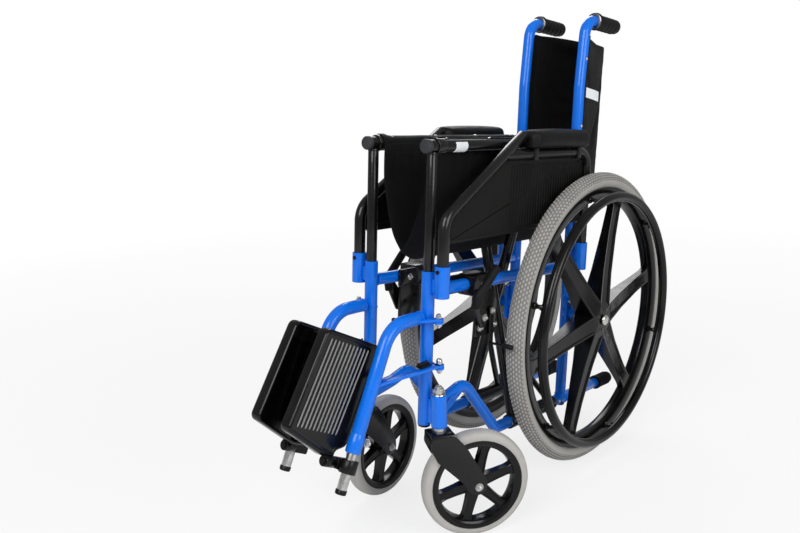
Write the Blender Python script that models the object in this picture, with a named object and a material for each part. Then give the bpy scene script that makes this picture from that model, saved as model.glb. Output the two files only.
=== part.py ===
"""Folding wheelchair with a cross brace, stored nearly folded. Metres, +Z up, the chair faces -Y.

Most pieces are laid out in the chair's own pitched frame. A point there is (o, u, v):
o outboard of the frame tubes, u towards the back, v up along the uprights. Left is +X.
"""
import math

import bmesh
import bpy
from mathutils import Matrix, Vector

# Stance: the frame's lean, half the spacing of the uprights, and the frame's own origin
PITCH = math.radians(4.0)
HALF_GAP = 0.0665
ORIGIN_SIDE = 0.0087
ORIGIN_BACK = 0.2345
FRAME_BACK = -0.012
FRAME_UP = 0.215
GAP = 0.0003

# Frame tubes
UPRIGHT_R = 0.0118
UPRIGHT_TOP = 0.274
RAIL_R = 0.0112
LOW_RAIL_V = -0.070
LOW_RAIL_END = 0.655
TOP_RAIL_FRONT_V = 0.2385
TOP_RAIL_REAR_V = 0.2265
CANE_FOOT_U = 0.472
REAR_U = CANE_FOOT_U + 0.0015
CANE_KINK = (CANE_FOOT_U + 0.0035, 0.600)
CANE_BEND = 0.032
GRIP_U = 0.520
GRIP_V = 0.733
GRIP_SLOPE = -0.048
GRIP_LENGTH = 0.094
CANE_TOP_U = GRIP_U - 0.033
CANE_END_U = GRIP_U + 0.040

# Seat rails, posts and cross brace
SEAT_RAIL_R = 0.0110
SEAT_RAIL_V = 0.485
SEAT_RAIL_U = (-0.0105, 0.452)
POST_R = 0.0095
POST_BOTTOM = 0.2305
POST_BORE_FLOOR = 0.028
BRACE_R = 0.0105
BRACE_U = (0.285, 0.317)
SLEEVE_R = 0.0146
SLEEVE_END = CANE_FOOT_U - 0.036
STRUT_FROM = 0.30
STRUT_R = 0.0062
BOLT_R = 0.0045

# Wheels
AXLE_BACK = 0.4685
AXLE_UP = 0.305
WHEEL_O = 0.0629
AXLE_R = 0.0060
AXLE_TIP = 0.0935
TYRE_IN = 0.2705
WHEEL_STEPS = 36
SPOKES = 6
SPOKE_PHASE = math.radians(16.0)
TAB_PHASE = math.radians(45.0)
HANDRIM_O = 0.1032
HANDRIM = 0.258
HANDRIM_R = 0.0095

# Casters
STEM_O = 0.030
STEM_BACK = -0.007
STEM_R = 0.0060
TRAIL = 0.066
CASTER_UP = 0.100
CASTER_TYRE_IN = 0.0800
CASTER_STEPS = 24
CASTER_SPOKES = 6
CASTER_BOLT_R = 0.0040
HOUSING = (0.216, 0.275)
CASTER_TURN = {"left": -0.585, "right": 0.06}

# Hangers and footplates
PIN_O = 0.027
PIN_BACK = -0.001
PIN_UP = (0.3255, 0.4077)
PIN_R = 0.0040
HANGER_TOP_V = 0.1945
HANGER_A = (-0.119, 0.141)
HANGER_LEAN = math.radians(23.67)
HANGER_END = 0.155
EXT_R = 0.0085
EXT_S = (0.100, 0.2225)
FOOT_S = 0.177
FOOT_O = -0.020
FOOT_THICK = 0.022
FOOT_PIN_R = 0.0050
FOOT_BARREL_T = (0.0165, 0.040)

# Armrests
ARM_O = 0.030
ARM_R = 0.0103
ARM_REAR_U = CANE_FOOT_U - 0.004
ARM_RAIL_V = 0.4684
ARM_SLOPE = 0.600
ARM_BEND_V = 0.367
ARM_STUB = 0.0560
SOCKET_R = 0.0132
FRONT_SOCKET = (0.231, 0.286)
REAR_SOCKET = (0.223, 0.280)
FRONT_BORE_FLOOR = 0.2355
REAR_BORE_FLOOR = 0.2275
PAD_BEHIND_STUB = 0.0095
PAD_END_U = ARM_REAR_U - 0.030
PAD_HALF_WIDTH = 0.0230
PAD_HEIGHT = 0.036
PAD_O = 0.0360
GUARD_THICK = 0.003
BUTTON_V = 0.277
BUTTON_R = 0.0036

# Brake
LEVER_AT = (0.120, 0.178)
SHOE_AT = (0.150, 0.186)
ROD_AT = (0.151, 0.124)
PLATE_O = (0.0215, 0.0265)

# Cloth
SEAT_HEM = 0.0125
SEAT_CHORD = 0.2145
SEAT_U = (0.030, 0.436)
BACK_CHORD = 0.2245
BACK_V = (0.350, 0.695)
CLOTH = 0.0020

BLUE = ("blue_paint", (0.010, 0.090, 0.620, 1), 0.28, 0.0)
BLACK_PAINT = ("black_paint", (0.012, 0.012, 0.013, 1), 0.35, 0.0)
BLACK_PLASTIC = ("black_plastic", (0.016, 0.016, 0.017, 1), 0.50, 0.0)
BLACK_RUBBER = ("black_rubber", (0.018, 0.018, 0.018, 1), 0.75, 0.0)
GREY_TYRE = ("grey_tyre", (0.42, 0.41, 0.39, 1), 0.80, 0.0)
CHROME = ("chrome", (0.80, 0.80, 0.80, 1), 0.15, 1.0)
FABRIC = ("black_fabric", (0.014, 0.014, 0.016, 1), 0.85, 0.0)

CHAIR_PLACE = (-ORIGIN_SIDE, FRAME_BACK - ORIGIN_BACK, FRAME_UP)
CHAIR = Matrix.Translation(CHAIR_PLACE) @ Matrix.Rotation(-PITCH, 4, "X")
ACROSS = Vector((1, 0, 0))
UPWARD = Vector((0, 0, 1))
LEVEL_BACK = CHAIR.inverted().to_3x3() @ Vector((0, 1, 0))


# Places
def at(o, u, v):
    """A point of the left half in the chair's pitched frame."""
    return Vector((HALF_GAP + o, u, v))


def upright_at(o, back, up):
    """The same frame's point for a place given by its level height and distance back."""
    return CHAIR.inverted() @ Vector((HALF_GAP + o - ORIGIN_SIDE, back - ORIGIN_BACK, up))


def foot_at(o, s, t):
    """A point beside the leg tube: s down along it, t forward of it."""
    down = Vector((0, -math.sin(HANGER_LEAN), -math.cos(HANGER_LEAN)))
    front = Vector((0, -math.cos(HANGER_LEAN), math.sin(HANGER_LEAN)))
    return at(o, *HANGER_A) + s * down + t * front


# Meshes
def circle(radius, sides):
    """A round section with a flat at the top."""
    return [(radius * math.cos((i + 0.5) * math.tau / sides), radius * math.sin((i + 0.5) * math.tau / sides))
            for i in range(sides)]


def hole(radius, sides, gap=GAP):
    """The section of a hole that clears a round section of the same sides and turn."""
    return circle(radius + gap / math.cos(math.pi / sides), sides)


def rounded(points, radius, steps=3):
    """The route through the points with an arc at each inner corner."""
    points = [Vector(p) for p in points]
    route = [points[0]]
    for before, corner, after in zip(points, points[1:], points[2:]):
        back, ahead = before - corner, after - corner
        half = back.angle(ahead) / 2
        if half > math.radians(89.5):
            continue
        reach = min(radius / math.tan(half), 0.48 * back.length, 0.48 * ahead.length)
        middle = (back.normalized() + ahead.normalized()).normalized()
        centre = corner + middle * reach / math.cos(half)
        first = corner + back.normalized() * reach - centre
        last = corner + ahead.normalized() * reach - centre
        for i in range(steps + 1):
            route.append(centre + first.normalized().slerp(last.normalized(), i / steps) * first.length)
    route.append(points[-1])
    return route


def skin(rings, closed_ring=False):
    """A closed mesh through rings of points, capped at both ends unless they form a loop."""
    bm = bmesh.new()
    loops = [[bm.verts.new(p) for p in ring] for ring in rings]
    count = len(loops[0])
    pairs = list(zip(loops, loops[1:]))
    if closed_ring:
        pairs.append((loops[-1], loops[0]))
    for low, high in pairs:
        for i in range(count):
            j = (i + 1) % count
            bm.faces.new((low[i], low[j], high[j], high[i]))
    if not closed_ring:
        bm.faces.new(loops[0])
        bm.faces.new(loops[-1])
    bmesh.ops.recalc_face_normals(bm, faces=bm.faces)
    return bm


def sweep(route, section, side=ACROSS):
    """Carries a section along a route; side is the direction of the section's first axis."""
    rings = []
    for i, point in enumerate(route):
        ahead = route[min(i + 1, len(route) - 1)] - point
        behind = point - route[max(i - 1, 0)]
        along = (ahead.normalized() + behind.normalized()).normalized()
        across = (side - along * side.dot(along)).normalized()
        up = across.cross(along)
        rings.append([point + across * a + up * b for a, b in section])
    return skin(rings)


def tube(points, radius, sides=12, bend=0.03, side=ACROSS):
    """A round bar through the points."""
    return sweep(rounded(points, bend), circle(radius, sides), side)


def bar(start, end, width, thick, side=ACROSS):
    """A flat bar; width lies along side."""
    section = [(a * width / 2, b * thick / 2) for a, b in ((-1, -1), (1, -1), (1, 1), (-1, 1))]
    return sweep([Vector(start), Vector(end)], section, side)


def slab(outline, o_range, place=at):
    """A flat plate: the outline's two axes are the place's second and third."""
    return skin([[place(o, a, b) for a, b in outline] for o in o_range])


def box_slab(u_range, v_range, o_range):
    """An oblong plate."""
    return slab([(u_range[0], v_range[0]), (u_range[1], v_range[0]), (u_range[1], v_range[1]),
                 (u_range[0], v_range[1])], o_range)


def turned(profile, centre, steps, ring=False, phase=0.5):
    """Turns a profile of (o, radius) pairs about the cross axis through the centre."""
    rings = []
    for i in range(steps):
        angle = (i + phase) * math.tau / steps
        out = Vector((0, math.sin(angle), math.cos(angle)))
        rings.append([centre + Vector((o, 0, 0)) + out * r for o, r in profile])
    if ring:
        return skin(rings, closed_ring=True)
    return skin([[spoke[k] for spoke in rings] for k in range(len(profile))])


def solid_of(bm):
    """A scratch object for a Boolean."""
    mesh = bpy.data.meshes.new("scratch")
    bm.to_mesh(mesh)
    bm.free()
    scratch = bpy.data.objects.new("scratch", mesh)
    scratch.hide_render = True
    scratch.display_type = "WIRE"
    bpy.context.scene.collection.objects.link(scratch)
    return scratch


def combine(operation, base, tools):
    """Joins or cuts the base with each tool in turn and gives back one mesh."""
    scratch = [solid_of(base)] + [solid_of(tool) for tool in tools]
    for tool in scratch[1:]:
        step = scratch[0].modifiers.new("step", "BOOLEAN")
        step.operation = operation
        step.solver = "EXACT"
        step.object = tool
    graph = bpy.context.evaluated_depsgraph_get()
    mesh = bpy.data.meshes.new_from_object(scratch[0].evaluated_get(graph))
    bm = bmesh.new()
    bm.from_mesh(mesh)
    bpy.data.meshes.remove(mesh)
    for item in scratch:
        mesh = item.data
        bpy.data.objects.remove(item)
        bpy.data.meshes.remove(mesh)
    bmesh.ops.remove_doubles(bm, verts=bm.verts, dist=0.00002)
    bmesh.ops.dissolve_degenerate(bm, dist=0.00002, edges=bm.edges)
    return bm


def fuse(base, *tools):
    return combine("UNION", base, tools)


def cut(base, *tools):
    return combine("DIFFERENCE", base, tools)


def material(spec):
    """The named material, made once."""
    name, colour, rough, metal = spec
    found = bpy.data.materials.get(name)
    if found:
        return found
    made = bpy.data.materials.new(name)
    made.use_nodes = True
    shader = made.node_tree.nodes["Principled BSDF"]
    shader.inputs["Base Color"].default_value = colour
    shader.inputs["Roughness"].default_value = rough
    shader.inputs["Metallic"].default_value = metal
    made.diffuse_color = colour
    return made


def emit(name, bm, pivot, paint, mirror=False, place=CHAIR):
    """Makes the mesh an object whose origin is the pivot; mirrored to the right side on request."""
    pivot = Vector(pivot)
    flip = Matrix.Diagonal((-1, 1, 1, 1)) if mirror else Matrix.Identity(4)
    bm = bm.copy()
    bmesh.ops.transform(bm, matrix=flip @ Matrix.Translation(-pivot), verts=bm.verts)
    if mirror:
        bmesh.ops.reverse_faces(bm, faces=bm.faces)
    mesh = bpy.data.meshes.new(name)
    bm.to_mesh(mesh)
    bm.free()
    mesh.materials.append(material(paint))
    mesh.shade_smooth()
    mesh.set_sharp_from_angle(angle=math.radians(35))
    item = bpy.data.objects.new(name, mesh)
    item.matrix_world = place @ Matrix.Translation(flip @ pivot)
    bpy.context.scene.collection.objects.link(item)
    return item


def both(name, bm, pivot, paint):
    """Emits the left piece and its mirror image."""
    emit("left_" + name, bm, pivot, paint)
    emit("right_" + name, bm, pivot, paint, mirror=True)
    bm.free()


# Side frame
def grip_point(u):
    """A point of the push grip's axis."""
    return at(0, u, GRIP_V + GRIP_SLOPE * (u - GRIP_U))


def axle_at(o):
    return upright_at(o, AXLE_BACK, AXLE_UP)


def top_rail_v(u):
    return TOP_RAIL_FRONT_V + (TOP_RAIL_REAR_V - TOP_RAIL_FRONT_V) * u / REAR_U


def pin_length(low, high, radius, sides):
    """A round bar on the hinge pins' line between two level heights."""
    return tube([upright_at(PIN_O, PIN_BACK, low), upright_at(PIN_O, PIN_BACK, high)], radius, sides)


def side_frame():
    """Uprights, rails, sockets, caster housing, axle boss and hanger lugs of one side."""
    back_web = (CANE_FOOT_U - 0.006, CANE_FOOT_U + 0.002)
    axle_plate = (CANE_FOOT_U - 0.016, CANE_FOOT_U + 0.019)
    cane = [at(0, CANE_FOOT_U, LOW_RAIL_V), at(0, *CANE_KINK), grip_point(CANE_TOP_U), grip_point(CANE_END_U)]
    pieces = [
        tube(cane, RAIL_R, bend=CANE_BEND),
        tube([at(0, 0, TOP_RAIL_FRONT_V), at(0, REAR_U, TOP_RAIL_REAR_V)], RAIL_R),
        tube([at(0, 0, 0.022), at(0, 0.064, 0.034), at(0, 0.112, 0.0485), at(0, 0.223, LOW_RAIL_V),
              at(0, LOW_RAIL_END, LOW_RAIL_V)], RAIL_R),
        bar(at(0.030, 0.006, 0.020), at(0.002, 0.102, 0.040), 0.005, 0.012),
        slab([(-0.004, 0.237), (0.004, 0.237), (0.004, 0.262), (-0.004, 0.262)], (0.004, 0.022)),
        tube([at(ARM_O, 0, v) for v in FRONT_SOCKET], SOCKET_R),
        box_slab(back_web, (0.232, 0.270), (0.004, 0.022)),
        tube([at(ARM_O, ARM_REAR_U, v) for v in REAR_SOCKET], SOCKET_R),
        tube([upright_at(STEM_O, STEM_BACK, HOUSING[0]), upright_at(STEM_O, STEM_BACK, HOUSING[1])], 0.0140),
        slab([(-0.005, 0.006), (0.006, 0.006), (0.006, 0.050), (-0.005, 0.050)], (0.004, 0.022)),
        tube([axle_at(-0.004), axle_at(0.034)], 0.0125, side=UPWARD),
        box_slab(axle_plate, (0.088, 0.160), (0.008, 0.0135)),
    ]
    for up in PIN_UP:
        lug = up - 0.0042
        root = upright_at(0.004, PIN_BACK + 0.001, lug)
        pieces.append(bar(root, upright_at(PIN_O, PIN_BACK, lug), 0.016, 0.004, LEVEL_BACK))
        pieces.append(pin_length(lug - 0.0025, lug + 0.0023, 0.0088, 10))
        pieces.append(pin_length(up - 0.012, up + 0.007, PIN_R, 8))
    frame = fuse(tube([at(0, 0, 0), at(0, 0, UPRIGHT_TOP)], UPRIGHT_R), *pieces)
    front_bore = [at(ARM_O, 0, FRONT_BORE_FLOOR), at(ARM_O, 0, FRONT_SOCKET[1] + 0.014)]
    rear_bore = [at(ARM_O, ARM_REAR_U, REAR_BORE_FLOOR), at(ARM_O, ARM_REAR_U, REAR_SOCKET[1] + 0.020)]
    return cut(
        frame,
        sweep([at(0, 0, POST_BORE_FLOOR), at(0, 0, 0.300)], hole(POST_R, 12)),
        sweep(front_bore, hole(ARM_R, 12)),
        sweep(rear_bore, hole(ARM_R, 12)),
        sweep([upright_at(STEM_O, STEM_BACK, 0.200), upright_at(STEM_O, STEM_BACK, 0.290)], hole(STEM_R, 12)),
        sweep([axle_at(0.0145), axle_at(0.040)], hole(AXLE_R, 12), UPWARD),
        sweep([at(ARM_O, -0.020, BUTTON_V), at(ARM_O, -0.004, BUTTON_V)], hole(BUTTON_R, 10)),
    )


def push_grip():
    """Rubber grip with a flange and finger ridges, bored for the cane's end."""
    ridges = []
    for i in range(5):
        mid = 0.026 + 0.014 * i
        ridges += [(mid, 0.0160), (mid + 0.007, 0.0148)]
    profile = [(0.0, 0.0180), (0.005, 0.0185), (0.009, 0.0185), (0.012, 0.0152), (0.018, 0.0150)]
    profile += ridges + [(GRIP_LENGTH - 0.003, 0.0158), (GRIP_LENGTH, 0.0130)]
    start, end = grip_point(GRIP_U), grip_point(GRIP_U + GRIP_LENGTH)
    along = (end - start).normalized()
    up = ACROSS.cross(along)
    rings = []
    for a, r in profile:
        rings.append([start + along * a + ACROSS * r * x + up * r * y for x, y in circle(1.0, 12)])
    return cut(skin(rings), sweep([start - 0.02 * along, grip_point(CANE_END_U + 2 * GAP)], hole(RAIL_R, 12)))


def tipping_boot():
    """Rubber boot over the rear end of the lower rail."""
    body = fuse(tube([at(0, 0.627, LOW_RAIL_V), at(0, 0.690, LOW_RAIL_V + 0.001)], 0.0142),
                tube([at(0, 0.627, LOW_RAIL_V), at(0, 0.634, LOW_RAIL_V)], 0.0158))
    bore = [at(0, 0.600, LOW_RAIL_V), at(0, LOW_RAIL_END + GAP, LOW_RAIL_V)]
    return cut(body, sweep(bore, hole(RAIL_R, 12)))


# Seat rails, posts and brace
def seat_rail():
    """Round rail with the ledge that the seat cloth's hem hangs under."""
    round_bar = tube([at(0, SEAT_RAIL_U[0], SEAT_RAIL_V), at(0, SEAT_RAIL_U[1], SEAT_RAIL_V)], SEAT_RAIL_R)
    hem = SEAT_RAIL_V + 0.0006
    corners = ((-0.0135, hem), (-0.0060, hem), (-0.0060, hem + 0.0034), (-0.0135, hem + 0.0034))
    ledge = skin([[at(o, u, v) for o, v in corners] for u in SEAT_U])
    return fuse(round_bar, ledge)


def rail_cap():
    """Plastic plug on the front end of the seat rail."""
    front = SEAT_RAIL_U[0] - GAP
    return fuse(tube([at(0, front - 0.0085, SEAT_RAIL_V), at(0, front, SEAT_RAIL_V)], 0.0120),
                tube([at(0, front - 0.0100, SEAT_RAIL_V), at(0, front - 0.0075, SEAT_RAIL_V)], 0.0100))


def seat_post():
    """Post in the upright's bore with an eye round the seat rail."""
    eye = tube([at(0, 0.004, SEAT_RAIL_V), at(0, 0.026, SEAT_RAIL_V)], 0.0142)
    post = fuse(tube([at(0, 0, POST_BOTTOM), at(0, 0, SEAT_RAIL_V - 0.006)], POST_R), eye)
    line = [at(0, -0.03, SEAT_RAIL_V), at(0, 0.05, SEAT_RAIL_V)]
    return cut(post, sweep(line, hole(SEAT_RAIL_R, 12, 0.0007)))


def brace_point(u, share):
    """A point of the left-footed brace: share 0 at the left lower rail, 1 at the right seat rail."""
    return Vector((HALF_GAP * (1 - 2 * share), u, LOW_RAIL_V + (SEAT_RAIL_V - LOW_RAIL_V) * share))


def brace(u):
    """One brace: sleeve round the lower rail, tube up to the other side's seat rail and a strut."""
    along = Vector((0, 1, 0))
    sleeve = sweep([at(0, u - 0.015, LOW_RAIL_V), at(0, SLEEVE_END, LOW_RAIL_V)], circle(SLEEVE_R, 12))
    main = tube([brace_point(u, 0), brace_point(u, 1)], BRACE_R, side=along)
    strut = tube([brace_point(u, STRUT_FROM), brace_point(SLEEVE_END - 0.010, 0.008)], STRUT_R, 8)
    whole = fuse(main, sleeve, strut)
    rail_route = [Vector((-HALF_GAP, u - 0.05, SEAT_RAIL_V)), Vector((-HALF_GAP, u + 0.05, SEAT_RAIL_V))]
    centre = brace_point(u, 0.5)
    foot_line = [at(0, u - 0.04, LOW_RAIL_V), at(0, SLEEVE_END + 0.02, LOW_RAIL_V)]
    return cut(whole,
               sweep(foot_line, hole(RAIL_R, 12, 0.0008)),
               sweep(rail_route, hole(SEAT_RAIL_R, 12)),
               sweep([centre - 0.03 * along, centre + 0.03 * along], hole(BOLT_R, 10)))


def brace_bolt():
    """Bolt through both braces with its head and nut."""
    back, front = BRACE_U[1] + BRACE_R + GAP, BRACE_U[0] - BRACE_R - GAP
    v = brace_point(0, 0.5).z
    return fuse(tube([Vector((0, front - 0.004, v)), Vector((0, back + 0.008, v))], BOLT_R, 10),
                tube([Vector((0, front - 0.006, v)), Vector((0, front, v))], 0.0085, 6),
                tube([Vector((0, back, v)), Vector((0, back + 0.006, v))], 0.0085, 6))


# Rear wheel
def wheel_tyre():
    half = [(0.0105, TYRE_IN), (0.0172, 0.2835), (0.0130, 0.2985)]
    profile = half + [(0.0, AXLE_UP)] + [(-o, r) for o, r in reversed(half)]
    return turned(profile, axle_at(WHEEL_O), WHEEL_STEPS, ring=True, phase=0.0)


def wheel_mag():
    """Moulded wheel: rim, six spokes and a hub bored for the axle."""
    centre = axle_at(WHEEL_O)
    seat = TYRE_IN - GAP - 0.0002
    half = [(0.0120, seat), (0.0140, 0.2640), (0.0085, 0.2500)]
    rim = turned(half + [(-o, r) for o, r in reversed(half)], centre, WHEEL_STEPS, ring=True, phase=0.0)
    hub = turned([(-0.0285, 0.0180), (-0.0125, 0.0310), (0.0125, 0.0310), (0.0300, 0.0160)], centre, 16)
    arms = []
    for i in range(SPOKES):
        angle = SPOKE_PHASE + i * math.tau / SPOKES
        out = Vector((0, math.sin(angle), math.cos(angle)))
        across = Vector((0, out.z, -out.y))
        rings = []
        for reach, width, thick in ((0.015, 0.028, 0.0232), (0.2535, 0.022, 0.0150)):
            rings.append([centre + out * reach + across * a * width / 2 + ACROSS * b * thick / 2
                          for a, b in ((-1, -1), (1, -1), (1, 1), (-1, 1))])
        arms.append(skin(rings))
    whole = fuse(hub, rim, *arms)
    return cut(whole, sweep([axle_at(0.020), axle_at(0.110)], hole(AXLE_R, 12, 0.0006), UPWARD))


def handrim():
    """Push ring with its tabs to the wheel's rim."""
    section = [(a, b) for a, b in circle(HANDRIM_R, 6)]
    profile = [(a, HANDRIM + b) for a, b in section]
    centre = axle_at(HANDRIM_O)
    tabs = []
    for i in range(SPOKES):
        angle = TAB_PHASE + i * math.tau / SPOKES
        out = Vector((0, math.sin(angle), math.cos(angle)))
        across = Vector((0, out.z, -out.y))
        foot = axle_at(WHEEL_O + 0.0140 + GAP) + out * 0.2620
        tabs.append(bar(foot, centre + out * 0.2600, 0.010, 0.006, across))
    return fuse(turned(profile, centre, WHEEL_STEPS, ring=True, phase=0.0), *tabs)


def axle_bolt():
    """Axle with its domed cap."""
    cap = [(AXLE_TIP, 0.0115), (AXLE_TIP + 0.003, 0.0110), (AXLE_TIP + 0.0050, 0.0070)]
    return fuse(tube([axle_at(0.0150), axle_at(AXLE_TIP + 0.002)], AXLE_R, side=UPWARD),
                turned(cap, axle_at(0), 12))


# Casters, built round the stem
def caster_place(side):
    """The swivel's frame: origin on the stem at the floor, trail along its +Y."""
    sign = 1 if side == "left" else -1
    place = Matrix.Translation((sign * (HALF_GAP + STEM_O) - ORIGIN_SIDE, STEM_BACK - ORIGIN_BACK, 0))
    return place @ Matrix.Rotation(CASTER_TURN[side], 4, "Z")


def caster_fork():
    """Crown, two blades and the stem."""
    blade = [(-0.022, 0.196), (0.030, 0.196), (0.052, 0.160), (TRAIL + 0.016, 0.108), (TRAIL + 0.013, 0.090),
             (TRAIL, 0.084), (TRAIL - 0.014, 0.092), (TRAIL - 0.030, 0.130), (-0.016, 0.168)]
    parts = []
    for low, high in ((-0.0225, -0.0185), (0.0185, 0.0225)):
        parts.append(skin([[Vector((o, a, b)) for a, b in blade] for o in (low, high)]))
    top = ((-0.0222, -0.020), (0.0222, -0.020), (0.0222, 0.024), (-0.0222, 0.024))
    crown = skin([[Vector((x, y, z)) for x, y in top] for z in (0.1925, 0.2070)])
    boss = tube([Vector((0, 0, 0.200)), Vector((0, 0, HOUSING[0] - GAP))], 0.0125)
    stem = tube([Vector((0, 0, 0.202)), Vector((0, 0, 0.2905))], STEM_R)
    hub = Vector((0, TRAIL, CASTER_UP))
    clear = tube([hub - 0.0180 * ACROSS, hub + 0.0180 * ACROSS], 0.1030, 32, side=UPWARD)
    holes = sweep([hub - 0.04 * ACROSS, hub + 0.04 * ACROSS], hole(CASTER_BOLT_R, 10), UPWARD)
    return cut(fuse(crown, boss, stem, *parts), clear, holes)


def stem_nut():
    nut = tube([Vector((0, 0, HOUSING[1] + GAP)), Vector((0, 0, 0.2885))], 0.0105, 6)
    washer = tube([Vector((0, 0, HOUSING[1] + GAP)), Vector((0, 0, HOUSING[1] + 0.0025))], 0.0125, 12)
    return cut(fuse(nut, washer), sweep([Vector((0, 0, 0.26)), Vector((0, 0, 0.30))], hole(STEM_R, 12)))


def caster_rim():
    """Six-spoke moulded caster wheel bored for its bolt."""
    centre = Vector((0, TRAIL, CASTER_UP))
    half = [(0.0120, CASTER_TYRE_IN - GAP), (0.0120, 0.0730)]
    rim = turned(half + [(-o, r) for o, r in reversed(half)], centre, CASTER_STEPS, ring=True, phase=0.0)
    hub = turned([(-0.0180, 0.0140), (-0.010, 0.0200), (0.010, 0.0200), (0.0180, 0.0140)], centre, 14)
    arms = []
    for i in range(CASTER_SPOKES):
        angle = (i + 0.25) * math.tau / CASTER_SPOKES
        out = Vector((0, math.sin(angle), math.cos(angle)))
        across = Vector((0, out.z, -out.y))
        arms.append(bar(centre + out * 0.010, centre + out * 0.0755, 0.011, 0.014, across))
    whole = fuse(hub, rim, *arms)
    line = [centre - 0.04 * ACROSS, centre + 0.04 * ACROSS]
    return cut(whole, sweep(line, hole(CASTER_BOLT_R, 10, 0.0006), UPWARD))


def caster_tyre():
    half = [(0.0130, CASTER_TYRE_IN), (0.0150, 0.0900), (0.0095, 0.0985)]
    profile = half + [(0.0, CASTER_UP)] + [(-o, r) for o, r in reversed(half)]
    return turned(profile, Vector((0, TRAIL, CASTER_UP)), CASTER_STEPS, ring=True, phase=0.0)


def caster_axle_bolt():
    centre = Vector((0, TRAIL, CASTER_UP))
    shaft = tube([centre - 0.0260 * ACROSS, centre + 0.0260 * ACROSS], CASTER_BOLT_R, 10, side=UPWARD)
    head = turned([(0.0225 + GAP, 0.0070), (0.0270, 0.0065)], centre, 6)
    nut = turned([(-0.0270, 0.0070), (-0.0225 - GAP, 0.0070)], centre, 6)
    return fuse(shaft, head, nut)


# Leg rests
def hanger():
    """Swing-away leg tube with its two hinge bars and the clamp collar, bored for the extension."""
    corner_v = HANGER_TOP_V
    corner_u = HANGER_A[0] + (corner_v - HANGER_A[1]) * math.tan(HANGER_LEAN)
    pieces = [tube([foot_at(0, 0.128, 0), foot_at(0, HANGER_END, 0)], 0.0142),
              bar(foot_at(0, 0.134, -0.022), foot_at(0, 0.134, -0.006), 0.014, 0.012)]
    holes = []
    for up, start in zip(PIN_UP, ((0.003, -0.136), (0.004, -0.028))):
        level = up + 0.0005
        root = upright_at(start[0], start[1], level)
        pieces.append(bar(root, upright_at(PIN_O, PIN_BACK, level), 0.010, 0.0044))
        pieces.append(pin_length(level - 0.0023, level + 0.0025, 0.0085, 10))
        line = [upright_at(PIN_O, PIN_BACK, up - 0.02), upright_at(PIN_O, PIN_BACK, up + 0.02)]
        holes.append(sweep(line, hole(PIN_R, 8, 0.0006)))
    route = [at(0, -0.020, corner_v + 0.001), at(0, corner_u, corner_v), foot_at(0, HANGER_END, 0)]
    leg = tube(route, UPRIGHT_R, bend=0.055)
    line = [foot_at(0, EXT_S[0] - 0.012, 0), foot_at(0, HANGER_END + 0.025, 0)]
    bore = sweep(line, hole(EXT_R, 12, 0.0004))
    return cut(fuse(leg, *pieces), *holes, bore)


def extension():
    return fuse(tube([foot_at(0, EXT_S[0], 0), foot_at(0, EXT_S[1] - 0.002, 0)], EXT_R),
                tube([foot_at(0, EXT_S[1] - 0.007, 0), foot_at(0, EXT_S[1], 0)], EXT_R + 0.0010))


def foot_axis(t):
    return foot_at(FOOT_O, FOOT_S, t)


def footplate_hub():
    """Clamp on the extension with the footplate's hinge pin."""
    front = (foot_axis(1) - foot_axis(0)).normalized()
    ring = tube([foot_at(0, FOOT_S - 0.011, 0), foot_at(0, FOOT_S + 0.011, 0)], 0.0145)
    low, high = FOOT_S - 0.009, FOOT_S + 0.009
    block = slab([(low, -0.012), (high, -0.012), (high, 0.0150), (low, 0.0150)], (-0.0270, -0.0100), foot_at)
    pin = tube([foot_axis(0.004), foot_axis(FOOT_BARREL_T[1] + 0.003)], FOOT_PIN_R, 12)
    whole = fuse(ring, block, pin)
    return cut(whole, sweep([foot_at(0, FOOT_S - 0.03, 0), foot_at(0, FOOT_S + 0.03, 0)], hole(EXT_R, 12)))


def footplate():
    """Folding plate: ribbed tread outboard, hollow back, barrel round the hub's pin."""
    edge = [(-0.023, -0.019), (0.150, -0.006), (0.160, 0.0165), (0.171, 0.0165), (0.171, 0.0420),
            (0.144, 0.135), (-0.023, 0.115)]
    middle = [(0.06, -0.0127)]
    outline = rounded([foot_at(0, s, t) for s, t in middle + edge[1:] + edge[:1] + middle], 0.012, 3)
    shift = Vector((FOOT_O - FOOT_THICK, 0, 0))
    face = Vector((FOOT_O, 0, 0))
    plate = skin([[p + shift for p in outline[1:]], [p + face for p in outline[1:]]])
    pocket_edge = [(-0.017, -0.012), (0.146, 0.000), (0.152, 0.030), (0.137, 0.126), (-0.017, 0.109)]
    depth = (FOOT_O - FOOT_THICK - 0.01, FOOT_O - 0.006)
    pocket = skin([[foot_at(o, s, t) for s, t in pocket_edge] for o in depth])
    barrel = tube([foot_axis(FOOT_BARREL_T[0]), foot_axis(FOOT_BARREL_T[1])], 0.0095)
    plate = cut(fuse(plate, barrel), pocket)
    return cut(plate, sweep([foot_axis(-0.01), foot_axis(0.06)], hole(FOOT_PIN_R, 12)))


# Armrest
def armrest_tube():
    """Front tube that bends back and up, and the rail under the pad with its rear leg."""
    stub_u = meet_u() + ARM_STUB
    stub_v = ARM_BEND_V + ARM_SLOPE * stub_u
    front_leg = [at(ARM_O, 0, FRONT_BORE_FLOOR + 0.001), at(ARM_O, 0, ARM_BEND_V)]
    front = tube(front_leg + [at(ARM_O, stub_u, stub_v)], ARM_R, bend=0.040)
    rear_leg = [at(ARM_O, meet_u(), ARM_RAIL_V), at(ARM_O, ARM_REAR_U, ARM_RAIL_V)]
    rail = tube(rear_leg + [at(ARM_O, ARM_REAR_U, REAR_BORE_FLOOR + 0.001)], ARM_R, bend=0.030)
    dimple = sweep([at(ARM_O, -0.030, BUTTON_V), at(ARM_O, -0.0050, BUTTON_V)], hole(BUTTON_R, 10, 0.0008))
    return cut(fuse(front, rail), dimple)


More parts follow.
